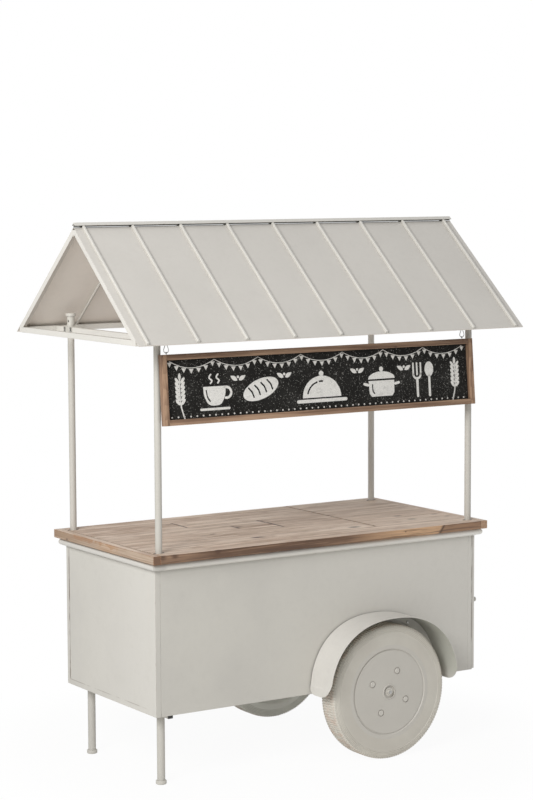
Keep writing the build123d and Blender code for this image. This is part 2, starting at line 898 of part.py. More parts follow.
for side, word in ((-1, "front"), (1, "rear")):
    save(tyre(side), f"{word}_tyre")
    save(rim(side), f"{word}_rim")
    save(hub(side), f"{word}_hub")
    save(bush(side), f"{word}_bush")
    save(lug_bolts(side), f"{word}_lug_bolts")
    save(hub_ring(side), f"{word}_hub_ring")


# Roof sheets and standing ribs, drawn on each slope with the ridge at the top of the plane
def slope_plane(side):
    normal = (0, side * sin(roof_pitch), cos(roof_pitch))
    return Plane((0, 0, apex), x_dir=(-side, 0, 0), z_dir=normal)


def roof_sheet(side):
    with BuildPart() as sheet:
        with BuildSketch(slope_plane(side).offset(-roof_sheet_thickness)):
            with Locations((0, -(slope_length + ridge_gap) / 2)):
                Rectangle(roof_length, slope_length - ridge_gap)
        extrude(amount=roof_sheet_thickness)
        with BuildSketch(slope_plane(side).offset(-2 * roof_sheet_thickness)):
            with Locations((0, hem_width / 2 - slope_length)):
                Rectangle(roof_length, hem_width)
        extrude(amount=roof_sheet_thickness)
    return sheet


save(roof_sheet(-1), "front_roof_sheet")
save(roof_sheet(1), "rear_roof_sheet")

with BuildPart() as roof_ribs:
    for side in (-1, 1):
        down = (0, side * cos(roof_pitch), -sin(roof_pitch))
        rib_start = Vector(0, 0, apex) + Vector(*down) * rib_top_margin
        with BuildSketch(Plane(rib_start, x_dir=(-side, 0, 0), z_dir=down)) as rib_ends:
            with Locations((0, rib_height / 2)):
                with GridLocations(rib_pitch, 0, rib_count, 1):
                    Rectangle(rib_width, rib_height)
            fillet(rib_ends.vertices().group_by(Axis.Y)[-1], rib_round)
        extrude(amount=slope_length - rib_top_margin - rib_eave_margin)
save(roof_ribs, "roof_ribs")

# Ridge cap resting on the ribs, with a web down between the sheets
cap_apex = apex + rib_height / cos(roof_pitch)
leg_y = ridge_leg * cos(roof_pitch)
leg_drop = ridge_leg * sin(roof_pitch)
fold_y = ridge_sheet * sin(roof_pitch)
fold_z = ridge_sheet * cos(roof_pitch)
with BuildPart() as ridge_cap:
    with BuildSketch(Plane.YZ.offset(-roof_length / 2)):
        with BuildLine():
            Polyline(
                (0, cap_apex),
                (leg_y, cap_apex - leg_drop),
                (leg_y + fold_y, cap_apex - leg_drop + fold_z),
                (0, total_height),
                (-leg_y - fold_y, cap_apex - leg_drop + fold_z),
                (-leg_y, cap_apex - leg_drop),
                close=True,
            )
        make_face()
        with Locations((0, cap_apex + ridge_sheet / 2)):
            Rectangle(ridge_sheet, ridge_web_depth, align=(Align.CENTER, Align.MAX))
    extrude(amount=roof_length)
save(ridge_cap, "ridge_cap")

# Roof frame: ridge beam and eave rails with closed ends and drain holes, ties across the posts and the
# gables, stout rafters at the gables and slim ones inside
ridge_beam_top = under_apex - frame_tube / 2 * tan(roof_pitch)
rail_middles = [
    (-eave_rail_y, roof_frame_middle),
    (eave_rail_y, roof_frame_middle),
    (0, ridge_beam_top - frame_tube / 2),
]
with BuildPart() as roof_rails:
    with BuildSketch(Plane.YZ.offset(-roof_length / 2)):
        with Locations(*rail_middles):
            tube_section()
    extrude(amount=roof_length)
    for end_x in (-roof_length / 2, roof_length / 2 - frame_wall):
        with BuildSketch(Plane.YZ.offset(end_x)):
            with Locations(*rail_middles):
                RectangleRounded(frame_tube, frame_tube, tube_corner)
        extrude(amount=frame_wall)
    for y, z in rail_middles:
        with BuildSketch(Plane((0, y, z - frame_tube / 2))):
            with GridLocations(roof_length - 2 * drain_hole_inset, 0, 2, 1):
                Circle(drain_hole_radius)
        extrude(amount=frame_wall, mode=Mode.SUBTRACT)
save(roof_rails, "roof_rails")

with BuildPart() as roof_ties:
    with BuildSketch(Plane.XZ):
        with Locations((0, roof_frame_middle)):
            with GridLocations(post_spacing_x, 0, 2, 1):
                tube_section()
            with GridLocations(2 * gable_tie_x, 0, 2, 1):
                tube_section()
    extrude(amount=tie_half, both=True)
    with BuildSketch(Plane.XY.offset(roof_frame_bottom)):
        with Locations(*post_points):
            Circle(stud_hole_radius)
    extrude(amount=frame_tube, mode=Mode.SUBTRACT)
    for side in (-1, 1):
        outer_wall = side * (post_spacing_x + frame_tube) / 2
        with BuildSketch(Plane.YZ.offset(outer_wall)):
            saddle_bolt_circles(small_hole_radius)
        extrude(amount=-side * frame_wall, mode=Mode.SUBTRACT)
save(roof_ties, "roof_ties")

rafter_top = ridge_beam_top
rafter_foot = (under_apex - roof_frame_top) / tan(roof_pitch)
rafter_pairs = (
    (gable_rafter_x, rafter_width, rafter_depth),
    (inner_rafter_x, inner_rafter_width, inner_rafter_depth),
)
with BuildPart() as rafters:
    for pair_x, width, depth in rafter_pairs:
        for x in (-pair_x, pair_x):
            with BuildSketch(Plane.YZ.offset(x)):
                for side in (-1, 1):
                    with BuildLine():
                        Polyline(
                            (side * frame_tube / 2, rafter_top),
                            (side * rafter_foot, roof_frame_top),
                            (side * (rafter_foot - depth / sin(roof_pitch)), roof_frame_top),
                            (side * frame_tube / 2, rafter_top - depth / cos(roof_pitch)),
                            close=True,
                        )
                    make_face()
            extrude(amount=width / 2, both=True)
save(rafters, "rafters")

# Rail between the ties that the wire hooks hang on
with BuildPart() as sign_rail:
    with BuildSketch(Plane((0, eye_y, hang_bar_z), x_dir=(0, 1, 0), z_dir=(1, 0, 0))):
        Circle(hang_bar_radius)
    extrude(amount=(post_spacing_x - frame_tube) / 2, both=True)
save(sign_rail, "sign_rail")

# Bolts of the frame: through the saddles into the ties, up into the bottom rails, through the mudguards
bolt_steps = ((small_head_radius, small_head_height), (small_bolt_radius, -small_bolt_reach))
with BuildPart() as frame_bolts:
    for side in (-1, 1):
        saddle_face = side * (post_spacing_x / 2 + frame_tube / 2 + saddle_sheet)
        for radius, amount in bolt_steps:
            with BuildSketch(Plane.YZ.offset(saddle_face)):
                saddle_bolt_circles(radius)
            extrude(amount=side * amount)
            with BuildSketch(across(side, half_width + fender_gap + fender_sheet)):
                with fender_bolt_places():
                    Circle(radius)
            extrude(amount=amount)
    for radius, amount in bolt_steps:
        with BuildSketch(Plane((wheel_x, 0, cabinet_bottom - clamp_thickness))):
            with GridLocations(2 * clamp_bolt_offset, cabinet_width - frame_tube, 2, 2):
                Circle(radius)
        extrude(amount=-amount)
save(frame_bolts, "frame_bolts")

# Hanging board. Its back is heavy and its eyes sit near the front, so it hangs with the foot forward:
# the lean puts the balance point straight below the eyes.
frame_run = 2 * (board_length - 2 * frame_face) + 2 * board_height
front_depth = frame_depth - panel_board
front_volume = frame_run * frame_face * front_depth
back_volume = frame_run * (frame_face - rebate) * panel_board
board_inside_length = board_length - 2 * frame_face + 2 * rebate - rebate_play
board_inside_height = board_height - 2 * frame_face + 2 * rebate - rebate_play
panel_volume = board_inside_length * board_inside_height * panel_board
back_depth = front_depth + panel_board / 2
balance_depth = (
    front_volume * front_depth / 2 + (back_volume + panel_volume) * back_depth
) / (front_volume + back_volume + panel_volume)
board_lean = atan2(balance_depth - eye_depth, board_height / 2 + eye_rise)
board_up = (0, sin(board_lean), cos(board_lean))
board_back = (0, cos(board_lean), -sin(board_lean))
eye_point = Vector(board_middle_x, eye_y, eye_z)
front_y_local = -eye_depth
board_top_local = -eye_rise
print("board leans", round(degrees(board_lean), 2), "degrees")


def level(height):
    """Plane across the hanging board at a height along it, measured from the eyes."""
    return Plane(eye_point + Vector(*board_up) * height, x_dir=(1, 0, 0), z_dir=board_up)


def end_on(place):
    """Plane square to the board's length at a place along it."""
    return Plane(eye_point + Vector(place, 0, 0), x_dir=board_back, z_dir=(1, 0, 0))


with BuildPart() as sign_frame:
    for side in (-1, 1):
        outer_x = side * board_length / 2
        edge_align = Align.MIN if side < 0 else Align.MAX
        with BuildSketch(level(board_top_local)):
            with Locations((outer_x, front_y_local)):
                Rectangle(frame_face, frame_depth, align=(edge_align, Align.MIN))
            with Locations((outer_x - side * frame_face, front_y_local + frame_depth)):
                Rectangle(
                    rebate,
                    panel_board,
                    align=(Align.MAX if side < 0 else Align.MIN, Align.MAX),
                    mode=Mode.SUBTRACT,
                )
        extrude(amount=-board_height)
        rail_height = board_top_local if side > 0 else board_top_local - board_height
        rail_align = Align.MAX if side > 0 else Align.MIN
        rebate_height = rail_height - side * frame_face
        with BuildSketch(end_on(0)):
            with Locations((front_y_local, rail_height)):
                Rectangle(frame_depth, frame_face, align=(Align.MIN, rail_align))
            with Locations((front_y_local + frame_depth, rebate_height)):
                Rectangle(
                    panel_board,
                    rebate,
                    align=(Align.MAX, Align.MIN if side > 0 else Align.MAX),
                    mode=Mode.SUBTRACT,
                )
        extrude(amount=board_length / 2 - frame_face - mitre_gap, both=True)
    with BuildSketch(level(board_top_local)):
        with Locations(*[(x - board_middle_x, 0) for x in eye_places_x]):
            Circle(eye_hole_radius)
    extrude(amount=-eye_shank, mode=Mode.SUBTRACT)
save(sign_frame, "sign_frame")

with BuildPart() as sign_board:
    board_low = board_top_local - frame_face + rebate - rebate_play / 2
    with BuildSketch(level(board_low)):
        with Locations((0, front_y_local + frame_depth)):
            Rectangle(board_inside_length, panel_board, align=(Align.CENTER, Align.MAX))
    extrude(amount=-board_inside_height)
save(sign_board, "sign_board")

with BuildPart() as sign_eyes:
    for x in eye_places_x:
        place = end_on(x - board_middle_x)
        with Locations(place):
            Torus(eye_ring_radius, eye_wire_radius)
        with BuildSketch(level(-eye_ring_radius)):
            with Locations((x - board_middle_x, 0)):
                Circle(eye_wire_radius)
        extrude(amount=-eye_shank + eye_rise)
save(sign_eyes, "sign_eyes")


# Wire hooks: a ring round the rail and a pear-shaped loop through the screw eye
def pear_path():
    slant = asin((pear_top_radius - pear_foot_radius) / pear_spread)
    foot = Vector(0, pear_foot_radius)
    top = Vector(0, pear_foot_radius + pear_spread)
    right = Vector(cos(slant), -sin(slant))
    left = Vector(-cos(slant), -sin(slant))
    with BuildLine() as path:
        ThreePointArc(foot + left * pear_foot_radius, (0, 0), foot + right * pear_foot_radius)
        Line(foot + right * pear_foot_radius, top + right * pear_top_radius)
        ThreePointArc(
            top + right * pear_top_radius,
            top + Vector(0, pear_top_radius),
            top + left * pear_top_radius,
        )
        Line(top + left * pear_top_radius, foot + left * pear_foot_radius)
    return path.wire()


hook_ring_radius = hang_bar_radius + hook_ring_play + hook_wire_radius
pear_top = eye_z + pear_spread + pear_top_radius + pear_foot_radius
with BuildPart() as sign_hooks:
    for x in eye_places_x:
        upright = Plane((x, eye_y, eye_z), x_dir=(1, 0, 0), z_dir=(0, -1, 0))
        loop = upright.from_local_coords(pear_path())
        with BuildSketch(Plane(loop @ 0, z_dir=loop % 0)):
            Circle(hook_wire_radius)
        sweep(path=loop)
        with BuildSketch(Plane((x, eye_y, pear_top))):
            Circle(hook_wire_radius)
        extrude(amount=hang_bar_z - hook_ring_radius - pear_top)
        with Locations(Plane((x, eye_y, hang_bar_z), x_dir=(0, 1, 0), z_dir=(1, 0, 0))):
            Torus(hook_ring_radius, hook_wire_radius)
save(sign_hooks, "sign_hooks")

# End door: a folded sheet tray over the right end, hinged at the rear corner
door_outer = cabinet_length / 2
door_low = cabinet_bottom + door_bottom_gap
door_high = moulding_bottom - door_top_gap
with BuildPart() as door_panel:
    with BuildSketch(Plane.YZ.offset(door_outer)):
        with Locations((0, (door_low + door_high) / 2)):
            Rectangle(cabinet_width - 2 * door_side_gap, door_high - door_low)
    extrude(amount=-door_depth)
    offset(amount=-panel_sheet, openings=door_panel.faces().sort_by(Axis.X)[0])
    chamfer(door_panel.edges().group_by(Axis.X)[-1], panel_edge)
    with BuildSketch(Plane.YZ.offset(door_outer)):
        with Locations((knob_y, knob_z)):
            Circle(knob_hole_radius)
    extrude(amount=-panel_sheet, mode=Mode.SUBTRACT)
save(door_panel, "door_panel")


def knob_plane(distance):
    """Plane square to the knob, facing outwards at a distance from the door's outer face."""
    return Plane((door_outer + distance, knob_y, knob_z), x_dir=(0, 1, 0), z_dir=(1, 0, 0))


with BuildPart() as door_knob:
    with BuildSketch(knob_plane(0)):
        Circle(knob_neck_radius)
    extrude(amount=knob_projection - knob_head)
    with BuildSketch(knob_plane(knob_projection - knob_head)):
        Circle(knob_radius)
    extrude(amount=knob_head)
    fillet(door_knob.faces().sort_by(Axis.X)[-1].edges(), knob_round)
    with BuildSketch(knob_plane(-panel_sheet)):
        Circle(knob_stud_radius)
    extrude(amount=panel_sheet)
    with BuildSketch(knob_plane(-panel_sheet)):
        RegularPolygon(knob_nut_radius, 6)
    extrude(amount=-knob_nut_height)
save(door_knob, "door_knob")

# Butt hinges: two outer knuckles on the frame leaf, the middle one on the door leaf
knuckle = hinge_height / 3
door_edge_y = half_width - door_side_gap
with BuildPart() as frame_hinge_leaves:
    for centre in hinge_heights:
        low = centre - hinge_height / 2
        with BuildSketch(Plane.XY.offset(low)):
            with Locations((hinge_pin_x - hinge_barrel_radius - hinge_knuckle_gap, half_width)):
                Rectangle(hinge_leaf_reach, hinge_leaf_sheet, align=(Align.MAX, Align.MIN))
        extrude(amount=hinge_height)
        for bottom in (low, low + 2 * knuckle):
            with BuildSketch(Plane.XY.offset(bottom)):
                with Locations((hinge_pin_x, hinge_pin_y)):
                    Circle(hinge_barrel_radius)
                with Locations((hinge_pin_x, half_width)):
                    Rectangle(
                        hinge_leaf_reach / 2,
                        hinge_pin_y - half_width,
                        align=(Align.MAX, Align.MIN),
                    )
                with Locations((hinge_pin_x, hinge_pin_y)):
                    Circle(hinge_bore_radius, mode=Mode.SUBTRACT)
            extrude(amount=knuckle)
save(frame_hinge_leaves, "frame_hinge_leaves")

with BuildPart() as door_hinge_leaves:
    for centre in hinge_heights:
        low = centre - knuckle / 2 + hinge_knuckle_gap
        with BuildSketch(Plane.XY.offset(low)):
            with Locations((hinge_pin_x, hinge_pin_y)):
                Circle(hinge_barrel_radius)
            with Locations((hinge_pin_x + door_gap, door_edge_y)):
                Rectangle(
                    door_outer - hinge_pin_x - door_gap,
                    hinge_pin_y - door_edge_y,
                    align=(Align.MIN, Align.MIN),
                )
            with Locations((hinge_pin_x, hinge_pin_y)):
                Circle(hinge_bore_radius, mode=Mode.SUBTRACT)
        extrude(amount=knuckle - 2 * hinge_knuckle_gap)
save(door_hinge_leaves, "door_hinge_leaves")

with BuildPart() as hinge_pins:
    for centre in hinge_heights:
        low = centre - hinge_height / 2
        with BuildSketch(Plane((hinge_pin_x, hinge_pin_y, low))):
            Circle(hinge_pin_radius)
        extrude(amount=hinge_height)
        with BuildSketch(Plane((hinge_pin_x, hinge_pin_y, low + hinge_height))):
            Circle(hinge_barrel_radius)
        extrude(amount=hinge_pin_head)
save(hinge_pins, "hinge_pins")

# Magnet catch on the front corner post, reaching to the door's sheet
catch_reach = door_outer - panel_sheet - catch_clearance - (frame_right - frame_tube)
with BuildPart() as door_catch:
    with BuildSketch(Plane((frame_right - frame_tube, frame_tube - half_width, catch_z))):
        Rectangle(catch_reach, catch_width, align=(Align.MIN, Align.MIN))
    extrude(amount=catch_height / 2, both=True)
save(door_catch, "door_catch")
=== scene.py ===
import json
import math
import random

import bmesh
import bpy
from mathutils import Matrix, Vector


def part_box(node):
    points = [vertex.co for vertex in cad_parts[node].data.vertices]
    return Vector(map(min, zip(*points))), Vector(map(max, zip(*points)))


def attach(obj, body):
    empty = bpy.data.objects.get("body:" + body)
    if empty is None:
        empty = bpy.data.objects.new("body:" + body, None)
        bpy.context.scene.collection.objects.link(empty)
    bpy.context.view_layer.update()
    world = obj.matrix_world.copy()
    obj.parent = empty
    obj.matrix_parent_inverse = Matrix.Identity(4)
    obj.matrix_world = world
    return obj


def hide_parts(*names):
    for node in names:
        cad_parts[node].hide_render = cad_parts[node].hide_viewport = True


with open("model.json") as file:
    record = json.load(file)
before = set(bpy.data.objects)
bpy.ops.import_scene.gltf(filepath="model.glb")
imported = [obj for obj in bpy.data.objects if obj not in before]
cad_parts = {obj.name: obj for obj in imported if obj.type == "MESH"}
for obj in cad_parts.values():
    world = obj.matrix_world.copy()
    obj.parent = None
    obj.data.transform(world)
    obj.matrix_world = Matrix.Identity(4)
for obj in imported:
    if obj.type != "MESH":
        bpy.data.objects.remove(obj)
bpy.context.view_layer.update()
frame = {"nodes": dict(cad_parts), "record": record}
nodes = frame["nodes"]
scene = bpy.context.scene


# a node socket with arithmetic: every operator adds one Math node to its tree
class Wire:
    def __init__(self, tree, socket):
        self.tree = tree
        self.socket = socket

    def out(self, name):
        return Wire(self.tree, self.socket.node.outputs[name])

    def calc(self, operation, first, second=0.0):
        return self.tree.add("ShaderNodeMath", {"operation": operation}, {0: first, 1: second})

    def __add__(self, other):
        return self.calc("ADD", self, other)

    def __radd__(self, other):
        return self.calc("ADD", other, self)

    def __sub__(self, other):
        return self.calc("SUBTRACT", self, other)

    def __rsub__(self, other):
        return self.calc("SUBTRACT", other, self)

    def __mul__(self, other):
        return self.calc("MULTIPLY", self, other)

    def __rmul__(self, other):
        return self.calc("MULTIPLY", other, self)

    def __truediv__(self, other):
        return self.calc("DIVIDE", self, other)

    def __rtruediv__(self, other):
        return self.calc("DIVIDE", other, self)

    def __pow__(self, other):
        return self.calc("POWER", self, other)

    def __gt__(self, other):
        return self.calc("GREATER_THAN", self, other)

    def __lt__(self, other):
        return self.calc("LESS_THAN", self, other)

    def __mod__(self, other):
        return self.calc("FLOORED_MODULO", self, other)

    def root(self):
        return self.calc("SQRT", self)

    def size(self):
        return self.calc("ABSOLUTE", self)

    def most(self, other):
        return self.calc("MAXIMUM", self, other)

    def least(self, other):
        return self.calc("MINIMUM", self, other)

    # soft step from 0 at low to 1 at high; low may be the larger one
    def between(self, low, high):
        reach = {"Value": self, "From Min": low, "From Max": high}
        return self.tree.add("ShaderNodeMapRange", {"interpolation_type": "SMOOTHSTEP"}, reach)


# one method makes any node: its settings are set first, then its sockets
class Tree:
    def __init__(self, nodeTree):
        self.nodeTree = nodeTree

    def add(self, kind, settings=None, sockets=None, out=0):
        node = self.nodeTree.nodes.new(kind)
        for name, value in (settings or {}).items():
            if name == "stops":
                self.setStops(node.color_ramp, value)
            else:
                setattr(node, name, value)
        for key, value in (sockets or {}).items():
            if isinstance(value, Wire):
                self.nodeTree.links.new(value.socket, node.inputs[key])
            else:
                node.inputs[key].default_value = value
        return Wire(self, node.outputs[out]) if len(node.outputs) else None

    def setStops(self, ramp, stops):
        ends = (ramp.elements[0], ramp.elements[-1])
        for element, (place, colour) in zip(ends, (stops[0], stops[-1])):
            element.position = place
            element.color = colour
        for place, colour in stops[1:-1]:
            ramp.elements.new(place).color = colour

    def axes(self, vector):
        parts = self.add("ShaderNodeSeparateXYZ", None, {0: vector})
        return parts, parts.out("Y"), parts.out("Z")

    def join(self, x, y, z):
        return self.add("ShaderNodeCombineXYZ", None, {0: x, 1: y, 2: z})


# a material under construction
class Finish(Tree):
    def __init__(self, name):
        self.material = bpy.data.materials.new(name)
        self.material.use_nodes = True
        super().__init__(self.material.node_tree)
        self.nodeTree.nodes.clear()
        self.where = self.add("ShaderNodeTexCoord", out="Object")

    def noise(self, vector, scale, detail=2.0, roughness=0.5):
        sockets = {"Vector": vector, "Scale": scale, "Detail": detail, "Roughness": roughness}
        return self.add("ShaderNodeTexNoise", None, sockets)

    def cells(self, vector, scale, out="Distance"):
        return self.add("ShaderNodeTexVoronoi", None, {"Vector": vector, "Scale": scale}, out)

    def mix(self, share, first, second, blend="MIX"):
        settings = {"data_type": "RGBA", "blend_type": blend}
        return self.add("ShaderNodeMix", settings, {0: share, 6: first, 7: second}, 2)

    def ramp(self, value, stops):
        return self.add("ShaderNodeValToRGB", {"stops": stops}, {0: value})

    def attribute(self, name):
        return self.add("ShaderNodeAttribute", {"attribute_name": name}, None, "Fac")

    # how far a spot lies in a corner, 0 in the open
    def corners(self, reach):
        return 1.0 - self.add("ShaderNodeAmbientOcclusion", {"samples": 6}, {"Distance": reach}, "AO")

    # how near a spot lies to an outer edge
    def edges(self, radius):
        rounded = self.add("ShaderNodeBevel", {"samples": 4}, {"Radius": radius})
        flat = self.add("ShaderNodeNewGeometry", out="Normal")
        sockets = {0: rounded, 1: flat}
        return 1.0 - self.add("ShaderNodeVectorMath", {"operation": "DOT_PRODUCT"}, sockets, "Value")

    def facing(self):
        return self.axes(self.add("ShaderNodeNewGeometry", out="Normal"))

    def bump(self, height, depth):
        return self.add("ShaderNodeBump", None, {"Height": height, "Distance": depth})

    def done(self, sockets):
        shader = self.add("ShaderNodeBsdfPrincipled", None, sockets)
        self.add("ShaderNodeOutputMaterial", None, {"Surface": shader})
        return self.material


def rgb(red, green, blue):
    def linear(level):
        share = level / 255
        return share / 12.92 if share <= 0.04045 else ((share + 0.055) / 1.055) ** 2.4

    return (linear(red), linear(green), linear(blue), 1.0)


# sprayed paint on sheet and tube: slow drift of tone, painted shade in corners, rubbed edges
# dust is a tone for random mottling and for painted shade in corners, whose reach and share are set here
paintLook = {
    "drift": 2.4, "mottle": 26.0, "peel": 420.0, "peelDepth": 0.00006, "wave": 5.0, "waveDepth": 0.0012,
    "dust": rgb(150, 146, 138), "cornerShadeReach": 0.020, "cornerShadeShare": 0.55,
    "primer": rgb(134, 112, 94), "edgeRadius": 0.0022, "roughness": 0.46, "rustAndShade": rgb(92, 70, 53),
    "underSpan": (-0.2, -0.5),
}


# seams are worn lines where two sheets meet, and on the roof and ridge cap painted shade lines under the cap's edge:
# axis, place, half width, strength, how unbroken they are
# lean is painted light, a slow change of tone standing in for light and shade: axis, start, end, tone there
def sprayedPaint(name, tone, cool, wear=0.5, under=None, look=paintLook, seams=(), lean=None):
    f = Finish(name)
    drift = f.noise(f.where, look["drift"], 3.0, 0.55)
    mottle = f.noise(f.where, look["mottle"], 5.0, 0.6)
    base = f.mix(drift.between(0.3, 0.7), tone, cool)
    # painted light: the tone leans along one axis
    if lean:
        axis, start, end, other = lean
        base = f.mix(f.axes(f.where)[axis].between(start, end), base, other)
    # painted light: faces turned down take another tone, paler on the roof's underside, darker on the rafters' and
    # mudguards' inner faces
    if under:
        _, _, up = f.facing()
        base = f.mix(up.between(*look["underSpan"]), base, under)
    base = f.mix((mottle - 0.5).size() * 0.22, base, look["dust"])
    # painted shade: darker in corners and in gaps between parts, from ambient occlusion
    base = f.mix(f.corners(look["cornerShadeReach"]) ** 1.4 * look["cornerShadeShare"], base, look["dust"])
    rub = f.edges(look["edgeRadius"]).between(0.04, 0.3)
    rub = rub * f.noise(f.where, 34.0, 4.0, 0.65).between(0.56, 0.66) * wear
    base = f.mix(rub, base, look["primer"])
    # worn lines along joints; on the roof and the ridge cap these lines are painted shade
    for axis, place, half, share, whole in seams:
        line = (f.axes(f.where)[axis] - place).size().between(half, half * 0.5)
        worn = f.noise(f.where, 4.6, 4.0, 0.6).between(0.44 - whole, 0.56 - whole)
        base = f.mix(line * worn * share, base, look["rustAndShade"])
    roughness = look["roughness"] + (mottle - 0.5) * 0.25 + rub * 0.2
    peel = f.noise(f.where, look["peel"], 2.0)
    wave = f.noise(f.where, look["wave"], 2.0)
    height = peel * look["peelDepth"] + wave * look["waveDepth"]
    return f.done({"Base Color": base, "Roughness": roughness, "Normal": f.bump(height, 1.0)})


# brushed paint on wood: faint strokes along the run
# shade is painted shade below the counter: level, depth, tone; each lean, as above, is painted light
def brushedPaint(name, tone, cool, shade, leans, look=paintLook):
    f = Finish(name)
    x, y, z = f.axes(f.where)
    strokes = f.noise(f.join(x * 3.0, y * 3.0, z * 260.0), 1.0, 3.0)
    drift = f.noise(f.where, 3.2, 3.0)
    base = f.mix(drift.between(0.3, 0.7), tone, cool)
    # painted light: the tone leans along one axis
    for axis, start, end, other in leans:
        base = f.mix((x, y, z)[axis].between(start, end), base, other)
    level, depth, dark = shade
    base = f.mix(z.between(level - depth, level) * 0.9, base, dark)
    base = f.mix((strokes - 0.5).size() * 0.22, base, look["dust"])
    # painted shade: darker in corners, from ambient occlusion
    base = f.mix(f.corners(0.006) ** 1.4 * 0.5, base, look["dust"])
    rub = f.edges(0.003).between(0.05, 0.35) * f.noise(f.where, 40.0, 4.0).between(0.57, 0.66)
    base = f.mix(rub * 0.5, base, look["primer"])
    height = strokes * 0.00015
    return f.done({"Base Color": base, "Roughness": 0.5 + rub * 0.2, "Normal": f.bump(height, 1.0)})


# paint over rubber: the tread shows pinkish wear, the side is smooth with faint rings of painted shade; painted light
# pales the side's outer band and the rear wheel's sheltered side, painted shade darkens its corners
tyreLook = {
    "worn": rgb(208, 188, 174), "tyreCornerShade": rgb(158, 151, 140), "from": 0.2465, "to": 0.2515,
    "rings": (0.2225, 0.2278, 0.2332, 0.2388, 0.2440), "ringTone": rgb(126, 119, 108), "ringShare": 0.35,
    "outer": rgb(218, 214, 204), "insideFrom": 0.385, "insideTo": 0.360, "inside": rgb(240, 240, 232),
}


def tyrePaint(name, tone, cool, axle, look=tyreLook):
    f = Finish(name)
    x, y, z = f.axes(f.where)
    x = x - axle.x
    z = z - axle.z
    radius = (x * x + z * z).root()
    drift = f.noise(f.where, 6.0, 4.0, 0.6)
    base = f.mix(drift.between(0.32, 0.68), tone, cool)
    # painted light: the outer band of the side is paler, lifting the mudguard's shade
    base = f.mix(radius.between(0.212, 0.238) * 0.6, base, look["outer"])
    # painted light: the sheltered side of the rear wheel is made paler
    inside = y.between(look["insideFrom"], look["insideTo"]) * (y > 0.0)  # sheltered side of the rear wheel
    base = f.mix(inside, base, look["inside"])
    tread = radius.between(look["from"], look["to"])
    worn = tread * f.noise(f.where, 38.0, 4.0, 0.7).between(0.42, 0.62)
    base = f.mix(worn * 0.8, base, look["worn"])
    # painted shade: faint dark rings along the side's ribs, broken into patches
    patches = f.noise(f.where, 9.0, 3.0).between(0.36, 0.64) * look["ringShare"]
    for ring in look["rings"]:
        base = f.mix((radius - ring).size().between(0.0012, 0.0004) * patches, base, look["ringTone"])
    # painted shade: darker in corners and creases
    base = f.mix(f.corners(0.006) ** 1.3 * 0.55, base, look["tyreCornerShade"])
    height = f.noise(f.where, 300.0, 3.0) * 0.0001
    roughness = 0.55 + worn * 0.2 + (drift - 0.5) * 0.15
    return f.done({"Base Color": base, "Roughness": roughness, "Normal": f.bump(height, 1.0)})


# plain metals
def platedSteel(name, tone, dark, roughness=0.34, metallic=1.0):
    f = Finish(name)
    spangle = f.cells(f.where, 220.0, "Color")
    cloud = f.noise(f.where, 60.0, 4.0, 0.6)
    base = f.mix(cloud.between(0.35, 0.7), tone, dark)
    # painted shade: darker in corners, from ambient occlusion
    base = f.mix(f.corners(0.006) * 0.6, base, dark)
    sparkle, _, _ = f.axes(spangle)
    rough = roughness + (sparkle - 0.5) * 0.1 + (cloud - 0.5) * 0.2
    height = f.noise(f.where, 700.0, 2.0) * 0.00003
    sockets = {"Base Color": base, "Metallic": metallic, "Roughness": rough, "Normal": f.bump(height, 1.0)}
    return f.done(sockets)


def mouldedPlastic(name, tone, pale):
    f = Finish(name)
    cloud = f.noise(f.where, 45.0, 4.0, 0.6)
    base = f.mix(cloud.between(0.4, 0.75) * 0.5, tone, pale)
    height = f.noise(f.where, 900.0, 2.0) * 0.00004
    return f.done({"Base Color": base, "Roughness": 0.5 + cloud * 0.2, "Normal": f.bump(height, 1.0)})


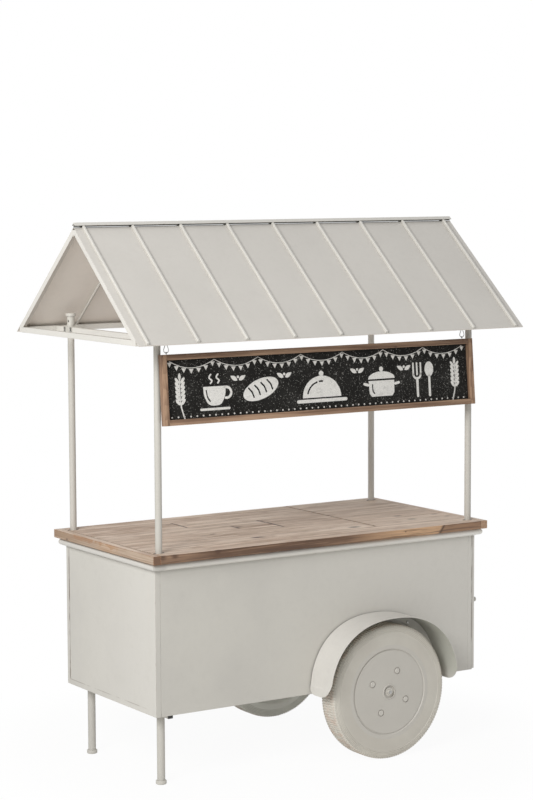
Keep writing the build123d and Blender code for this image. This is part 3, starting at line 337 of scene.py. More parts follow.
# timber: streaks and rings along the board, a pattern of its own for each plank, knots that bend the grain
def timber(name, along, look, knots=()):
    f = Finish(name)
    x, y, z = f.axes(f.where)
    run, across, depth = {"x": (x, y, z), "y": (y, x, z), "z": (z, x, y)}[along]
    plank = f.attribute("plank")
    middle = f.attribute("middle")
    spot = f.join(run / look["knotLength"], across, depth)
    bend = 0.0
    heart = 0.0
    for place, side, level, size in knots:  # each knot pushes the grain aside and darkens its heart
        ends = {0: spot, 1: (place / look["knotLength"], side, level)}
        far = f.add("ShaderNodeVectorMath", {"operation": "DISTANCE"}, ends, "Value")
        bend = far.between(size * 3.2, size * 0.3) * (across - side) * -0.6 + bend
        heart = far.between(size, size * 0.15).most(heart)
    across = across + bend
    shift = plank * 31.0
    swirl = f.noise(f.join(run * 1.3 + shift, across * 7.0, depth * 7.0), 1.0, 3.0)
    streak = f.noise(f.join(run * 1.6 + shift, across * 52.0 + shift, depth * 52.0), 1.0, 5.0, 0.62)
    fine = f.noise(f.join(run * 14.0 + shift, across * 560.0, depth * 560.0), 1.0, 3.0, 0.6)
    pith = across - middle + (plank - 0.5) * 0.08
    low = depth - look["pithDepth"] + plank * 0.06
    rings = (pith * pith + low * low).root() + (swirl - 0.5) * 0.034
    rings = (rings * look["rings"]) % 1.0
    late = rings.between(0.45, 0.95) * rings.between(1.0, 0.96)
    base = f.mix(streak.between(*look["streaks"]), look["dark"], look["pale"])
    base = f.mix((plank * 7.3 % 1.0) * look["spread"], base, look["plankTone"])
    base = f.mix((plank * 13.7 % 1.0).between(0.55, 0.95) * look["spread"], base, look["paleTone"])
    if "sides" in look:  # the top is washed pale with a cloudy figure, the sides keep their stain
        figure = f.noise(f.join(run * 7.0 + shift, across * 15.0 + shift, depth * 15.0), 1.0, 4.0, 0.6)
        base = f.mix(figure.between(0.46, 0.66) * look["figureShare"], base, look["figure"])
        # painted light: the top grows paler towards the right, lifting the shade that falls there
        base = f.mix(x.between(-0.3, 0.7) * 0.24, base, look["paleTone"])
        lines = f.noise(f.join(run * 4.0 + shift, across * 150.0, depth * 150.0), 1.0, 4.0, 0.6)
        slanted = run + (depth - look["scarfLevel"]) * look["scarfSlope"]
        side = f.ramp((slanted - look["sideFrom"]) / look["sideSpan"], look["sides"])
        side = f.mix(lines.between(0.50, 0.62) * look["sideStreak"], side, look["sideDark"])
        side = f.mix(lines.between(0.46, 0.36) * look["sideStreak"] * 0.6, side, look["sidePale"])
        if "chips" in look:  # stain broken away along the upper edge
            torn = depth - look["chipLevel"] + (f.noise(f.where, 13.0, 4.0, 0.6) - 0.41) * 0.10
            torn = torn.between(0.0, 0.003) * run.between(*look["chips"][:2]) * run.between(*look["chips"][2:])
            side = f.mix(torn, side, f.mix(lines.between(0.4, 0.6) * 0.6, look["chipTone"], look["sideDark"]))
            side = f.mix(run.between(*look["end"]) * (across < 0.0), side, look["endTone"])
        _, _, up = f.facing()
        base = f.mix(up.between(0.4, 0.9), side, base)
        ends = (run - f.attribute("start")).size().least((run - f.attribute("stop")).size())
        base = f.mix(ends.between(0.0075, 0.0030) * up.between(0.4, 0.9) * 0.8, base, look["gap"])
    base = f.mix(late * look["ringShare"], base, look["ringTone"])
    base = f.mix(fine.between(0.48, 0.75) * look["fineShare"], base, look["ringTone"])
    base = f.mix(heart * fine.between(0.25, 0.55) * 0.9, base, look["knot"])
    # painted shade: darker in corners and gaps, from ambient occlusion, in the gap tone
    base = f.mix(f.corners(0.005) ** 1.2 * 0.85, base, look["gap"])
    rub = f.edges(look["rubRadius"]).between(*look["rubSpan"]) * f.noise(f.where, 26.0, 4.0, 0.6).between(0.50, 0.60)
    base = f.mix(rub * look["rubShare"], base, look["rubTone"])
    height = streak * 0.0003 + fine * 0.00012 - late * 0.0001 - heart * 0.0004
    roughness = 0.66 - streak * 0.14 + late * 0.08
    return f.done({"Base Color": base, "Roughness": roughness, "Normal": f.bump(height, 1.0)})


# black paint on the board, with chalk dust rubbed into it and small flecks of chalk
boardLook = {
    "paint": rgb(26, 25, 23), "worn": rgb(40, 39, 37), "dust": rgb(176, 175, 170),
    # flecks: cells to the metre, size, share left out, strength
    "flecks": ((80.0, 0.30, 0.62, 0.45), (150.0, 0.32, 0.60, 0.75), (260.0, 0.32, 0.60, 1.0)),
}


def chalkedBoard(name, look=boardLook):
    f = Finish(name)
    x, y, z = f.axes(f.where)
    flat = f.join(x, z, 0.0)
    stray = f.add("ShaderNodeTexNoise", None, {"Vector": flat, "Scale": 90.0, "Detail": 2.0}, "Color")
    stray = f.add("ShaderNodeVectorMath", {"operation": "SCALE"}, {0: stray, "Scale": 0.012})
    spot = f.add("ShaderNodeVectorMath", {"operation": "ADD"}, {0: flat, 1: stray})
    cloud = f.noise(flat, 9.0, 5.0, 0.6)
    base = f.mix(cloud.between(0.35, 0.75), look["paint"], look["worn"])
    for scale, size, least, share in look["flecks"]:
        near = f.cells(spot, scale)
        lot, second, _ = f.axes(f.cells(spot, scale, "Color"))
        fleck = near.between(size, size * 0.4) * (lot + (cloud - 0.5) * 0.7 > least) * second * share
        base = f.mix(fleck, base, look["dust"])
    grain = f.noise(f.where, 900.0, 2.0)
    height = grain * 0.00008
    sockets = {"Base Color": base, "Roughness": 0.82 - cloud * 0.1, "Normal": f.bump(height, 1.0)}
    return f.done({**sockets, "Specular IOR Level": 0.15})


# chalk: white that breaks up over the tooth of the board
def chalk(name, white=rgb(232, 230, 225), thin=rgb(160, 159, 155)):
    f = Finish(name)
    tooth = f.noise(f.where, 420.0, 4.0, 0.7)
    sweep = f.noise(f.where, 60.0, 3.0)
    base = f.mix(tooth.between(0.46, 0.62) * 0.5 + sweep.between(0.5, 0.75) * 0.25, white, thin)
    return f.done({"Base Color": base, "Roughness": 0.95, "Normal": f.bump(tooth * 0.0001, 1.0)})


# finishes of the record's slots, for the CAD nodes that stay as they are
# wheels: painted shade in corners with a short reach
wheelLook = {**paintLook, "cornerShadeReach": 0.006, "cornerShadeShare": 0.5, "waveDepth": 0.0006}
# painted light: the front panel and the corner posts grow paler towards the right
toRight = (0, -0.5, 0.75, rgb(211, 208, 201))
roofLook = {**paintLook, "rustAndShade": rgb(70, 70, 65)}
# painted light: the moulding is darker at its left end and paler towards the right
mouldingLeans = ((0, -0.665, -0.685, rgb(206, 203, 197)), (0, 0.0, 0.7, rgb(246, 244, 238)))
underCounter = (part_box("edge_moulding")[1].z - 0.001, 0.0055, rgb(104, 84, 68))
finishes = {
    "cream_paint": sprayedPaint("creamPaint", rgb(202, 199, 191), rgb(194, 191, 184), lean=toRight),
    # painted light: the roof sheets' undersides are paler and warmer; painted shade: a grey line along the sheets' top
    # edge under the ridge cap
    "roof_paint": sprayedPaint("roofPaint", rgb(215, 211, 204), rgb(209, 205, 198), under=rgb(226, 218, 209),
                               look=roofLook, seams=((2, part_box("front_roof_sheet")[1].z, 0.0022, 1.0, 1.0),)),
    "painted_wood": brushedPaint("mouldingPaint", rgb(230, 227, 220), rgb(223, 220, 213), underCounter, mouldingLeans),
    "wheel_paint": sprayedPaint("wheelPaint", rgb(202, 198, 190), rgb(195, 191, 183), look=wheelLook),
    "tyre_paint": tyrePaint("tyrePaint", rgb(203, 199, 189), rgb(196, 191, 181), Vector((0.234, 0.0, 0.2525))),
    "bright_steel": platedSteel("zincSteel", rgb(188, 188, 186), rgb(140, 139, 136)),
    "dark_screw": platedSteel("blackScrew", rgb(34, 30, 26), rgb(24, 21, 19), 0.5, 0.2),
    "black_plastic": mouldedPlastic("blackPlastic", rgb(34, 33, 32), rgb(70, 68, 65)),
    "bronze": platedSteel("bearingBronze", rgb(170, 132, 76), rgb(112, 84, 48), 0.38),
}
# trim of the roof and the nuts of the wheels are whiter, the mudguards too, the rear right post too as painted light,
# the other posts a little darker
trimPaint = sprayedPaint("trimPaint", rgb(220, 217, 210), rgb(213, 210, 203), 0.8)
# painted shade: the rafters' faces turned down are darker
rafterPaint = sprayedPaint("rafterPaint", rgb(220, 217, 210), rgb(213, 210, 203), 0.8, rgb(184, 177, 168))
# mudguards: strong dark painted shade in corners and at the gap to the panel
guardLook = {**paintLook, "dust": rgb(70, 68, 63), "cornerShadeReach": 0.006, "cornerShadeShare": 1.6, "underSpan": (0.05, -0.15)}
endSeams = ((2, 0.2828, 0.0022, 0.38, 0.04), (1, 0.3070, 0.0016, 0.5, 0.0))
# painted light: the left end panel grows paler towards its front
toFront = (1, 0.25, -0.33, rgb(205, 202, 195))
endPaint = sprayedPaint("endPaint", rgb(202, 199, 191), rgb(194, 191, 184), seams=endSeams, lean=toFront)
cornerSeams = ((1, 0.3098, 0.0062, 0.9, -0.06), (0, 0.6942, 0.0030, 0.55, 0.0))
cornerPaint = sprayedPaint("cornerPaint", rgb(202, 199, 191), rgb(194, 191, 184), seams=cornerSeams, lean=toRight)
# ridge cap: strong painted shade in its corners and a painted shade line along the web under its edge; brown primer at
# rubbed edges
ridgeLook = {**guardLook, "cornerShadeReach": 0.022, "cornerShadeShare": 1.5, "primer": rgb(112, 76, 56), "rustAndShade": rgb(70, 70, 65)}
ridgeShadeLine = ((2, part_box("ridge_cap")[0].z + 0.0012, 0.0040, 1.0, 1.0),)
ridgePaint = sprayedPaint("ridgePaint", rgb(220, 217, 210), rgb(213, 210, 203), 1.0, look=ridgeLook, seams=ridgeShadeLine)
# painted shade: the mudguards' faces turned down are darker and cooler
guardPaint = sprayedPaint("guardPaint", rgb(214, 211, 205), rgb(208, 205, 199), 0.7, rgb(188, 188, 178), guardLook)
nutPaint = sprayedPaint("nutPaint", rgb(209, 205, 197), rgb(202, 198, 190), look=wheelLook)
socketPaint = sprayedPaint("socketPaint", rgb(198, 178, 160), rgb(188, 168, 150), look=wheelLook)
legPaint = sprayedPaint("legPaint", rgb(193, 190, 182), rgb(186, 183, 176))
postPaint = sprayedPaint("postPaint", rgb(198, 194, 186), rgb(191, 188, 180))
ownFinish = {
    "door_knob": finishes["cream_paint"], "ridge_cap": ridgePaint, "left_panel": endPaint, "corner_posts": cornerPaint,
}
for paint, names in (
    # painted light: the rear right post takes the paler trim paint, lifting the shade it stands in
    (trimPaint, "roof_ribs roof_ties roof_rails rear_right_post"), (rafterPaint, "rafters"),
    (nutPaint, "axle_nuts front_lug_bolts rear_lug_bolts"),
    (guardPaint, "front_fender rear_fender"),
    (postPaint, "front_left_post front_right_post rear_left_post"), (socketPaint, "post_sockets"),
    (legPaint, "legs"),
):
    ownFinish.update((name, paint) for name in names.split())
for subpart in frame["record"]["subparts"]:
    finish = ownFinish.get(subpart["node"], finishes.get(subpart["material_slot"]))
    if finish:
        surface = nodes[subpart["node"]].data.materials
        surface.clear()
        surface.append(finish)
print("finishes made:", len(finishes))


# a geometry node tree with named inputs, ended by Realize Instances and Set Material
class Recipe(Tree):
    def __init__(self, name, **inputs):
        group = bpy.data.node_groups.new(name, "GeometryNodeTree")
        super().__init__(group)
        group.interface.new_socket("Geometry", in_out="INPUT", socket_type="NodeSocketGeometry")
        group.interface.new_socket("Geometry", in_out="OUTPUT", socket_type="NodeSocketGeometry")
        self.keys = {}
        for label, kind in inputs.items():
            socket = group.interface.new_socket(label, in_out="INPUT", socket_type="NodeSocket" + kind)
            self.keys[label] = socket.identifier
        self.given = self.add("NodeGroupInput")

    def close(self, geometry, material):
        self.material = material
        whole = self.add("GeometryNodeRealizeInstances", None, {0: geometry})
        dressed = self.add("GeometryNodeSetMaterial", None, {"Geometry": whole, "Material": material})
        self.add("NodeGroupOutput", None, {0: dressed})

    # runs the tree on a base mesh and gives back a plain mesh
    def grow(self, name, base, **values):
        host = bpy.data.objects.new(name, base)
        scene.collection.objects.link(host)
        modifier = host.modifiers.new("recipe", "NODES")
        modifier.node_group = self.nodeTree
        for label, value in values.items():
            modifier[self.keys[label]] = value
        graph = bpy.context.evaluated_depsgraph_get()
        made = bpy.data.meshes.new_from_object(host.evaluated_get(graph), preserve_all_data_layers=True, depsgraph=graph)
        host.modifiers.remove(modifier)
        bpy.data.objects.remove(host)
        return inOneFinish(made, self.material)


def inOneFinish(mesh, material):
    mesh.materials.clear()
    mesh.materials.append(material)
    for face in mesh.polygons:
        face.material_index = 0
    return mesh


def smoothed(mesh, degrees=35.0):
    mesh.shade_smooth()
    mesh.set_sharp_from_angle(angle=math.radians(degrees))
    return mesh


def joined(name, material, *meshes):
    work = bmesh.new()
    for mesh in meshes:
        work.from_mesh(mesh)
    whole = bpy.data.meshes.new(name)
    work.to_mesh(whole)
    work.free()
    return inOneFinish(whole, material)


def fitPiece(name, mesh, body, slotName, *replaced):
    piece = bpy.data.objects.new(name, mesh)
    scene.collection.objects.link(piece)
    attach(piece, body)
    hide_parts(*replaced)
    return piece


# counter: twelve staves along the length, pieced with butt joints, and a batten across each end
woodLook = {
    "pale": rgb(244, 226, 208), "dark": rgb(188, 162, 141), "sideDark": rgb(68, 50, 38), "sidePale": rgb(170, 140, 114),
    "figure": rgb(158, 126, 103), "figureShare": 0.5,
    "plankTone": rgb(170, 142, 121), "paleTone": rgb(242, 226, 210), "spread": 0.32, "streaks": (0.36, 0.64),
    "ringTone": rgb(118, 90, 70), "ringShare": 0.20, "fineShare": 0.26, "knot": rgb(74, 50, 37), "knotLength": 1.7,
    "gap": rgb(64, 46, 36), "rubTone": rgb(206, 172, 138), "rubShare": 0.5, "rubRadius": 0.003, "rubSpan": (0.03, 0.25),
    "rings": 150.0, "pithDepth": 0.76, "sideStreak": 0.66,
    "scarfLevel": 0.8375, "scarfSlope": -0.7, "sideFrom": -0.74, "sideSpan": 1.48,
    "sides": (
        (0.0, rgb(132, 104, 82)), (0.10, rgb(136, 108, 86)), (0.18, rgb(98, 73, 55)), (0.45, rgb(95, 70, 53)),
        (0.56, rgb(114, 87, 67)), (0.66, rgb(178, 143, 112)), (0.74, rgb(208, 170, 133)), (0.850, rgb(203, 165, 130)),
        (0.853, rgb(60, 42, 32)), (0.857, rgb(60, 42, 32)), (0.860, rgb(154, 122, 96)), (1.0, rgb(150, 117, 92)),
    ),
}
battenLook = {
    **woodLook, "spread": 0.2, "sideDark": rgb(146, 114, 90), "sidePale": rgb(206, 186, 166), "sideStreak": 0.6,
    "rubTone": rgb(150, 108, 76), "rubShare": 0.9, "rubRadius": 0.006, "rubSpan": (0.012, 0.10),
    "chips": (-0.16, -0.05, 0.40, 0.32), "chipLevel": 0.8465, "chipTone": rgb(174, 140, 110),
    "end": (-0.3700, -0.3728), "endTone": rgb(112, 84, 65), "scarfSlope": 0.0, "sideFrom": -0.373, "sideSpan": 0.746,
    "sides": (
        (0.0, rgb(178, 146, 119)), (0.006, rgb(178, 158, 138)), (0.3, rgb(170, 149, 129)),
        (0.45, rgb(180, 152, 126)), (0.6, rgb(174, 153, 133)), (0.90, rgb(160, 136, 113)),
        (0.995, rgb(152, 126, 103)), (1.0, rgb(136, 105, 84)),
    ),
}
counterLook = {
    "frontStaves": 2, "backStaves": 10, "gap": 0.0007, "seam": 0.0046, "noJoint": 9.0, "round": 0.0012, "seed": 14,
    # butt joints: stave counted from the front edge, then places along the length
    "joints": {5: (0.008,), 6: (-0.150, 0.010), 7: (0.006,), 8: (-0.305,), 9: (-0.303,)},
    # knots: along the length, across, level, size
    "knots": (
        (-0.333, 0.218, 0.8455, 0.015), (-0.139, 0.026, 0.8455, 0.018), (0.009, 0.103, 0.8455, 0.012),
        (0.003, 0.017, 0.8455, 0.012), (-0.210, -0.221, 0.8455, 0.024), (-0.304, -0.062, 0.8455, 0.012),
        (0.221, -0.222, 0.8455, 0.022), (0.516, -0.091, 0.8455, 0.017), (0.518, -0.185, 0.8455, 0.018),
        (0.665, -0.131, 0.8455, 0.014), (0.676, -0.200, 0.8455, 0.011),
        (-0.703, -0.3735, 0.838, 0.0165), (-0.650, -0.3735, 0.839, 0.0125), (-0.474, -0.3735, 0.839, 0.0130),
        (0.350, -0.3735, 0.836, 0.004),
    ),
}


def runRecipe(name, material):
    r = Recipe(name, Width="Float", Thickness="Float", Round="Float")
    line = r.add("GeometryNodeMeshToCurve", None, {0: r.given})
    line = r.add("GeometryNodeSetCurveNormal", {"mode": "Z_UP"}, {0: line})
    sizes = {"Width": r.given.out("Width"), "Height": r.given.out("Thickness")}
    section = r.add("GeometryNodeCurvePrimitiveQuadrilateral", None, sizes)
    rounding = {"Curve": section, "Radius": r.given.out("Round"), "Count": 3}
    section = r.add("GeometryNodeFilletCurve", {"mode": "POLY"}, rounding)
    board = r.add("GeometryNodeCurveToMesh", None, {"Curve": line, "Profile Curve": section, "Fill Caps": True})
    r.close(board, material)
    return r


# loose edges, each with the plank's lot number, its middle line for the grain and its butt joints
def plankLines(name, planks, chance):
    mesh = bpy.data.meshes.new(name)
    points = [point for plank in planks for point in plank[:2]]
    edges = [(2 * index, 2 * index + 1) for index in range(len(planks))]
    mesh.from_pydata(points, edges, [])
    layers = {"plank": [], "middle": [], "start": [], "stop": []}
    for start, end, centre, joints in planks:
        for label, value in zip(layers, (chance.random(), centre, *joints)):
            layers[label] += [value, value]
    for label, values in layers.items():
        mesh.attributes.new(label, "FLOAT", "POINT").data.foreach_set("value", values)
    return mesh


def makeCounter(look=counterLook):
    chance = random.Random(look["seed"])
    staveWood = timber("staveWood", "x", woodLook, look["knots"])
    battenWood = timber("battenWood", "y", battenLook, ((0.271, -0.7375, 0.821, 0.006),))
    frontLow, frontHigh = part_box("tabletop_front_board")
    backLow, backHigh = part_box("tabletop_left_boards")
    seam = backHigh.x
    level = (frontLow.z + frontHigh.z) / 2
    thickness = frontHigh.z - frontLow.z
    staves = runRecipe("staves", staveWood)
    number = 0
    fields = (("Front", frontLow, frontHigh, look["frontStaves"], ()), ("Back", backLow, backHigh, look["backStaves"], (seam,)))
    for word, low, high, count, seams in fields:
        width = (high.y - low.y) / count
        planks = []
        for index in range(count):
            centre = low.y + width * (index + 0.5)
            breaks = sorted((frontLow.x, *look["joints"].get(number, ()), *seams, frontHigh.x))
            for start, end in zip(breaks, breaks[1:]):
                inset, outset = (look["seam" if place in seams else "gap"] / 2 for place in (start, end))
                joints = [place if frontLow.x < place < frontHigh.x else look["noJoint"] for place in (start, end)]
                planks.append(((start + inset, centre, level), (end - outset, centre, level), centre, joints))
            number += 1
        lines = plankLines("staves" + word, planks, chance)
        sizes = {"Width": width - look["gap"], "Thickness": thickness, "Round": look["round"]}
        mesh = smoothed(staves.grow("staves" + word, lines, **sizes))
        nodesHere = ("tabletop_front_board",) if word == "Front" else ("tabletop_left_boards", "tabletop_right_boards")
        fitPiece("counterStaves" + word, mesh, "kiosk", "counter_wood", *nodesHere)
    battenLow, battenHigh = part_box("end_battens")
    width = frontLow.x - battenLow.x
    planks = []
    for middle in (battenLow.x + width / 2, battenHigh.x - width / 2):
        ends = ((middle, battenLow.y, level), (middle, battenHigh.y, level))
        planks.append((*ends, middle, (look["noJoint"], look["noJoint"])))
    lines = plankLines("battens", planks, chance)
    sizes = {"Width": width - look["gap"], "Thickness": thickness, "Round": look["round"]}
    mesh = smoothed(runRecipe("battens", battenWood).grow("battens", lines, **sizes))
    fitPiece("counterBattens", mesh, "kiosk", "counter_wood", "end_battens")


makeCounter()
print("counter laid")


# moulding under the counter: a round nose at the top and a thin flat strip below it, mitred at the corners
mouldingLook = {
    "neck": 0.009, "neckHeight": 0.0030, "nose": 0.0232, "round": 0.0108, "strip": 0.0198, "back": 0.0209,
    "backRight": 0.0319, "steps": 6,
}


def makeMoulding(look=mouldingLook):
    low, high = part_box("edge_moulding")
    noseHigh = high.z - look["neckHeight"]
    noseLow = noseHigh - look["nose"]
    radius = look["round"]
    section = [(look["back"], high.z), (look["neck"], high.z), (look["neck"], noseHigh - 0.0001)]
    for centre, start, swing in ((noseHigh - radius, 95.0, 85.0), (noseLow + radius, 180.0, 90.0)):
        for step in range(look["steps"] + 1):
            angle = math.radians(start + swing * step / look["steps"])
            section.append((radius + radius * math.cos(angle), centre + radius * math.sin(angle)))
    section += [(look["strip"], noseLow), (look["strip"], low.z), (look["back"], low.z)]
    work = bmesh.new()
    loops = []
    for inset, level in section:
        right = look["backRight"] if inset == look["back"] else inset
        corners = ((low.x + inset, low.y + inset), (high.x - right, low.y + inset),
                   (high.x - right, high.y - inset), (low.x + inset, high.y - inset))
        loops.append([work.verts.new((x, y, level)) for x, y in corners])
    for here, there in zip(loops, loops[1:] + loops[:1]):
        for index in range(4):
            following = (index + 1) % 4
            work.faces.new((here[index], here[following], there[following], there[index]))
    bmesh.ops.recalc_face_normals(work, faces=work.faces)
    mesh = bpy.data.meshes.new("moulding")
    work.to_mesh(mesh)
    work.free()
    mesh = smoothed(inOneFinish(mesh, finishes["painted_wood"]))
    fitPiece("edgeMouldingNosed", mesh, "kiosk", "painted_wood", "edge_moulding")


makeMoulding()
print("moulding run")


# tyre: turned carcass with fine ribs near its shoulder, rows of small tread blocks set round it
tyreShape = {
    "steps": 144, "bead": 0.1742, "bulge": 0.208, "bulgeHalf": 0.0428, "shoulder": 0.2478, "shoulderHalf": 0.0362,
    "treadHalf": 0.0310, "base": 0.2494, "wall": 0.0095,
    # the bead sits nearer the outer face: distance from the middle plane and the lip beside the rim
    "beads": {"inner": (0.0270, (0.1815, 0.0290)), "outer": (0.0390, (0.1772, 0.0420))},
    "ribs": (0.2250, 0.2305, 0.2360, 0.2415), "ribHeight": 0.0016, "ribHalf": 0.0014,
    "blocks": 150, "along": 0.0068, "taper": 0.80,
    # rows of blocks: distance from the axle, from the middle plane, lean, width, height, half pitch on or not
    "rows": (
        (0.2494, 0.0152, 0.0, 0.0296, 0.0032, 0.0), (0.2474, 0.0362, 44.0, 0.0120, 0.0021, 0.0),
    ),
}


# one side of the section from bead to tread: distance from the axle, distance from the wheel's middle plane
def tyreSide(shape, beadHalf, lip):
    points = [(shape["bead"], beadHalf), lip]
    fullest = Vector((shape["bulge"], shape["bulgeHalf"]))
    rise = (fullest - Vector(lip)) / 2
    bezier = (Vector(lip), Vector(lip) + rise, fullest - Vector((rise.x, 0.0)), fullest)
    for step in range(1, 9):
        points.append(tuple(curvePoint(bezier, step / 8)))
    edge = Vector((shape["shoulder"], shape["shoulderHalf"]))
    bezier = (fullest, fullest + Vector((0.022, 0.0)), edge + Vector((-0.0045, 0.0048)), edge)
    flank = [curvePoint(bezier, step / 60) for step in range(1, 61)]
    for radius, half in flank:
        lift = max(0.0, *(1.0 - abs(radius - rib) / shape["ribHalf"] for rib in shape["ribs"]))
        points.append((radius, half + shape["ribHeight"] * min(1.0, 2.0 * lift)))
    points.append((shape["base"] - 0.0008, shape["treadHalf"] + 0.0028))
    points.append((shape["base"], shape["treadHalf"]))
    return points


def curvePoint(bezier, t):
    first, second, third, last = bezier
    return first * (1 - t) ** 3 + second * (3 * t * (1 - t) ** 2) + third * (3 * t * t * (1 - t)) + last * t ** 3


# closed section turned round the wheel's axle, which runs along Y
def turnedRing(name, section, centre, steps):
    work = bmesh.new()
    rings = []
    for step in range(steps):
        angle = 2 * math.pi * step / steps
        ring = []
        for radius, half in section:
            ring.append(work.verts.new(centre + Vector((radius * math.sin(angle), half, radius * math.cos(angle)))))
        rings.append(ring)
    count = len(section)
    for step in range(steps):
        here, there = rings[step], rings[(step + 1) % steps]
        for index in range(count):
            following = (index + 1) % count
            work.faces.new((here[index], here[following], there[following], there[index]))
    bmesh.ops.recalc_face_normals(work, faces=work.faces)
    mesh = bpy.data.meshes.new(name)
    work.to_mesh(mesh)
    work.free()
    return mesh


# one row of tapered blocks round the axle
def treadRecipe(material):
    r = Recipe("treadBlocks", Centre="Vector", Count="Int", Radius="Float", Offset="Float", Lean="Float", Start="Float",
               Along="Float", Across="Float", Height="Float", Taper="Float")
    given = r.given.out
    size = r.join(given("Along"), given("Across"), given("Height"))
    block = r.add("GeometryNodeMeshCube", None, {"Size": size})
    x, y, z = r.axes(r.add("GeometryNodeInputPosition"))
    pinch = 1.0 - (z > 0.0) * (1.0 - given("Taper"))
    raised = z + given("Height") * 0.5
    block = r.add("GeometryNodeSetPosition", None, {0: block, "Position": r.join(x * pinch, y * pinch, raised)})
    block = r.add("GeometryNodeTransform", None, {0: block, "Rotation": r.join(given("Lean"), 0.0, 0.0)})
    block = r.add("GeometryNodeTransform", None, {0: block, "Translation": r.join(0.0, given("Offset"), given("Radius"))})
    turn = (r.add("GeometryNodeInputIndex") + given("Start")) * (2 * math.pi) / given("Count")
    points = r.add("GeometryNodeMeshLine", None, {"Count": given("Count"), "Offset": (0.0, 0.0, 0.0)})
    turned = r.add("FunctionNodeEulerToRotation", None, {0: r.join(0.0, turn, 0.0)})
    ring = r.add("GeometryNodeInstanceOnPoints", None, {"Points": points, "Instance": block, "Rotation": turned})
    ring = r.add("GeometryNodeTransform", None, {0: ring, "Translation": given("Centre")})
    r.close(ring, material)
    return r


def makeTyres(shape=tyreShape):
    paint = finishes["tyre_paint"]
    tread = treadRecipe(paint)
    wall = shape["wall"]
    for word, outward in (("front", -1), ("rear", 1)):
        low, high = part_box(word + "_tyre")
        centre = (low + high) / 2
        section = []
        for hand in (1, -1):
            beadHalf, lip = shape["beads"]["outer" if hand == outward else "inner"]
            side = tyreSide(shape, beadHalf, lip)
            inner = [(shape["base"] - wall, shape["treadHalf"] - wall / 2),
                     (shape["bulge"], shape["bulgeHalf"] - wall), (shape["bead"], beadHalf - wall)]
            half = [(radius, hand * offset) for radius, offset in inner + side]
            section += half[::hand]
        meshes = [turnedRing("carcass", section, centre, shape["steps"])]
        for radius, offset, lean, across, height, start in shape["rows"]:
            for hand in (1, -1):
                meshes.append(tread.grow("blocks", bpy.data.meshes.new("blocks"), Centre=tuple(centre),
                                         Count=shape["blocks"], Radius=radius - 0.0006, Offset=hand * offset,
                                         Lean=math.radians(-hand * lean), Start=start + (0.25 if hand < 0 else 0.0),
                                         Along=shape["along"], Across=across, Height=height, Taper=shape["taper"]))
        mesh = smoothed(joined(word + "Tyre", paint, *meshes), 40.0)
        fitPiece(word + "TyreTreaded", mesh, word + "_wheel", "tyre_paint", word + "_tyre")


makeTyres()
print("tyres turned")


# hanging board: softened wood frame, chalk drawing of table things, garland above, row of dots below
signLook = {
    "face": 0.020, "rebateDepth": 0.019, "rebateFace": 0.012, "depth": 0.025, "gap": 0.0002, "round": 0.0011,
    "chalkDepth": 0.0004, "inkDepth": 0.0006, "wobble": 0.00045, "seed": 5,
}
frameLook = {
    "pale": rgb(180, 148, 121), "dark": rgb(108, 81, 61), "plankTone": rgb(138, 108, 85),
    "paleTone": rgb(190, 160, 134), "spread": 0.30, "streaks": (0.38, 0.62), "ringTone": rgb(88, 60, 46),
    "ringShare": 0.28, "fineShare": 0.36, "knot": rgb(60, 40, 30), "knotLength": 2.4, "gap": rgb(50, 36, 29),
    "rubTone": rgb(190, 160, 134), "rubShare": 0.45, "rubRadius": 0.003, "rubSpan": (0.03, 0.25),
    "rings": 190.0, "pithDepth": 1.30,
}


# the board's own axes: u to the right, v up, out towards the customer; the middle of its face is the start
class BoardPlane:
    def __init__(self):
        faces = nodes["sign_board"].data.polygons
        self.out = min((face.normal.copy() for face in faces), key=lambda normal: normal.y)
        self.across = Vector((1.0, 0.0, 0.0))
        self.up = self.out.cross(self.across).normalized()
        corners = [vertex.co for vertex in nodes["sign_board"].data.vertices]
        self.face = max(corner.dot(self.out) for corner in corners)
        frameCorners = [vertex.co for vertex in nodes["sign_frame"].data.vertices]
        spans = []
        for axis in (self.across, self.up, self.out):
            reach = [corner.dot(axis) for corner in frameCorners]
            spans.append((min(reach), max(reach)))
        (self.left, self.right), (self.bottom, self.top), (self.back, self.front) = spans
        middle = self.across * (self.left + self.right) / 2 + self.up * (self.bottom + self.top) / 2
        self.middle = middle + self.out * self.face

    def at(self, u, v, d=0.0):
        return self.middle + self.across * u + self.up * v + self.out * d


# straight rail of the frame: its section is pushed along the run, then every edge is softened
def frameRail(plane, section, start, run, inward, look):
    work = bmesh.new()
    loops = []
    for shift in (Vector((0.0, 0.0, 0.0)), run):
        loops.append([work.verts.new(start + shift + inward * w - plane.out * d) for w, d in section])
    count = len(section)
    work.faces.new(loops[0])
    work.faces.new(list(reversed(loops[1])))
    for index in range(count):
        following = (index + 1) % count
        work.faces.new((loops[0][index], loops[1][index], loops[1][following], loops[0][following]))
    bmesh.ops.recalc_face_normals(work, faces=work.faces)
    bmesh.ops.bevel(work, geom=work.edges[:], offset=look["round"], segments=2, profile=0.5, affect="EDGES")
    mesh = bpy.data.meshes.new("rail")
    work.to_mesh(mesh)
    work.free()
    return mesh


def withLot(mesh, number, middle):
    for name, value in (("plank", number), ("middle", middle)):
        layer = mesh.attributes.new(name, "FLOAT", "POINT")
        for point in layer.data:
            point.value = value
    return mesh


